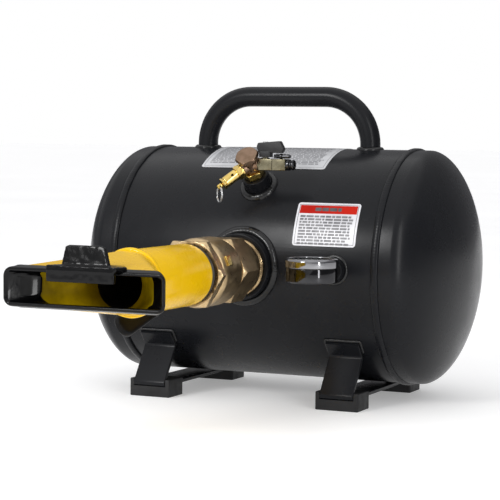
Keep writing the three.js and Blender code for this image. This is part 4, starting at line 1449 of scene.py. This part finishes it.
def add_fill_handle():
    """An upright wing on a short skirt, held down by a screw."""
    outline = [(-9, 18.5), (-6.5, 12.2), (19.5, 12.2), (21.5, 16.5), (17, 24.6), (-7.5, 22.5)]
    wing = slab(rounded(outline, 1.2, 4, looped=True), -3.5, 3.5, 0.6)
    upright = Matrix.Translation(FILL_STEM) @ Matrix.Rotation(TURN / 4, 4, "X")
    skirt = slab(rounded_rectangle(6.4, 4.6, 1.6, 4), 7.7, 14.0, 0.6)
    skirt_place = Matrix.Translation(FILL_STEM + X_AXIS * 0.6)
    add_piece("wing_handle", joined(moved(wing, upright), moved(skirt, skirt_place)),
              "black_plastic", "fill_handle", ["fill_handle"])
    screw = turned([(0, 19.5), (2.9, 19.5), (2.9, 23.4), (2.3, 23.9), (0, 23.9)], 0.3, 32)
    add_piece("handle_screw", placed(screw, Z_AXIS, FILL_STEM), "steel", "fill_handle",
              ["fill_handle_screw"])


# ---------------------------------------- what stays as CAD, and the stage

def finish_frame_nodes():
    """The inner pieces keep their CAD shape and take the finish of their own slot."""
    slots = {part["node"]: part["material_slot"] for part in frame["record"]["subparts"]}
    for name, obj in frame["nodes"].items():
        obj.data.materials.clear()
        obj.data.materials.append(FINISHES[slots[name]])


def add_camera():
    """A long lens from in front and a little to the right, just above the drum's middle."""
    azimuth, elevation, roll = (math.radians(a) for a in (24.10, 3.66, 0.70))
    target = Vector((-44.15, TANK.y, 154.33))
    distance = 2061.1
    back = Vector((math.sin(azimuth) * math.cos(elevation),
                   -math.cos(azimuth) * math.cos(elevation), math.sin(elevation)))
    level = Vector((math.cos(azimuth), math.sin(azimuth), 0))
    upright = back.cross(level)
    right = level * math.cos(roll) + upright * math.sin(roll)
    up = upright * math.cos(roll) - level * math.sin(roll)
    data = bpy.data.cameras.new("camera")
    data.lens = 132.89
    data.sensor_width = 36.0
    data.clip_start = 0.05
    data.clip_end = 60.0
    camera = in_scene("camera", data)
    turn = Matrix((right, up, back)).transposed().to_4x4()
    camera.matrix_world = Matrix.Translation((target + back * distance) * MM) @ turn
    bpy.context.scene.camera = camera


AIM = (0.0, 0.1, 0.15)
LIGHTS = (    # name, place and size in metres, power, and what it points at
    ("key", (-0.75, -1.9, 1.25), (0.45, 0.8), 19, AIM),
    ("fill", (1.30, -0.94, 0.66), (0.16, 1.25), 8, (0.0, 0.1, 0.66)),
    ("glint", (-0.30, -1.50, 0.95), (0.07, 0.30), 2.2, AIM),
)


def add_light(name, place, size, power, aim):
    data = bpy.data.lights.new(name, "AREA")
    data.shape = "RECTANGLE"
    data.size, data.size_y = size
    data.energy = power
    light = in_scene(name, data)
    light.location = place
    light.rotation_mode = "QUATERNION"
    light.rotation_quaternion = (Vector(aim) - Vector(place)).to_track_quat("-Z", "Y")
    light.visible_camera = False


def add_sky():
    """A wide sun that leans from the front left, in place of an overcast ceiling."""
    sun = bpy.data.lights.new("sky", "SUN")
    sun.energy = 1.45
    sun.angle = math.radians(140)
    in_scene("sky", sun).rotation_euler = (math.radians(24), math.radians(-18), 0)


def add_floor():
    """White paper, which glows a little so that it fades into the white behind it."""
    half = 30.0
    mesh = bpy.data.meshes.new("floor")
    mesh.from_pydata([(-half, -half, 0), (half, -half, 0), (half, half, 0), (-half, half, 0)],
                     [], [(0, 1, 2, 3)])
    floor = in_scene("floor", mesh)
    paper = surface("floor_paper", (0.80, 0.80, 0.80), (0.84, 0.84, 0.84), (0.55, 0.7),
                    patch=1.2, grain=300.0)
    shader = paper.node_tree.nodes["Principled BSDF"]
    shader.inputs["Emission Color"].default_value = (1.0, 1.0, 1.0, 1.0)
    shader.inputs["Emission Strength"].default_value = 0.29
    mesh.materials.append(paper)


def add_world():
    """A white room to look at, with softer and darker walls in what the metal reflects."""
    world = bpy.data.worlds.new("studio")
    world.use_nodes = True
    tree = world.node_tree
    background = tree.nodes["Background"]
    coordinates = tree.nodes.new("ShaderNodeTexCoord")
    split = tree.nodes.new("ShaderNodeSeparateXYZ")
    tree.links.new(coordinates.outputs["Generated"], split.inputs["Vector"])
    walls = ramp_node(tree, split.outputs["Z"], [(0.0, (0.16, 0.16, 0.17)),
                                                 (0.45, (0.30, 0.30, 0.31)),
                                                 (1.0, (0.75, 0.75, 0.76))])
    ray = tree.nodes.new("ShaderNodeLightPath")
    mix = tree.nodes.new("ShaderNodeMix")
    mix.data_type = "RGBA"    # its colours are inputs 6 and 7 and output 2
    tree.links.new(ray.outputs["Is Camera Ray"], mix.inputs[0])
    tree.links.new(walls, mix.inputs[6])
    mix.inputs[7].default_value = (1.0, 1.0, 1.0, 1)
    tree.links.new(mix.outputs[2], background.inputs["Color"])
    background.inputs["Strength"].default_value = 1.0
    bpy.context.scene.world = world


def build():
    add_drum()
    add_handle()
    add_bungs()
    add_warning_label()
    add_top_label()
    add_feet()
    add_outlet_nipple()
    add_valve_body()
    add_cast_mark()
    add_valve_end_cap()
    add_ball()
    add_lever()
    add_barrel()
    add_barrel_weld()
    add_fan()
    add_rim_dip()
    add_hook()
    add_gauge_case()
    add_dial()
    add_needle()
    add_gauge_stem()
    add_manifold_nipple()
    add_manifold()
    add_relief_valve()
    add_relief_spring()
    add_relief_stem()
    add_pull_ring()
    add_fill_valve()
    add_stop_pin()
    add_fill_handle()
    finish_frame_nodes()


def add_stage():
    add_floor()
    add_world()
    for light in LIGHTS:
        add_light(*light)
    add_sky()
    bpy.context.scene.view_settings.view_transform = "Standard"


add_camera()
build()
add_stage()
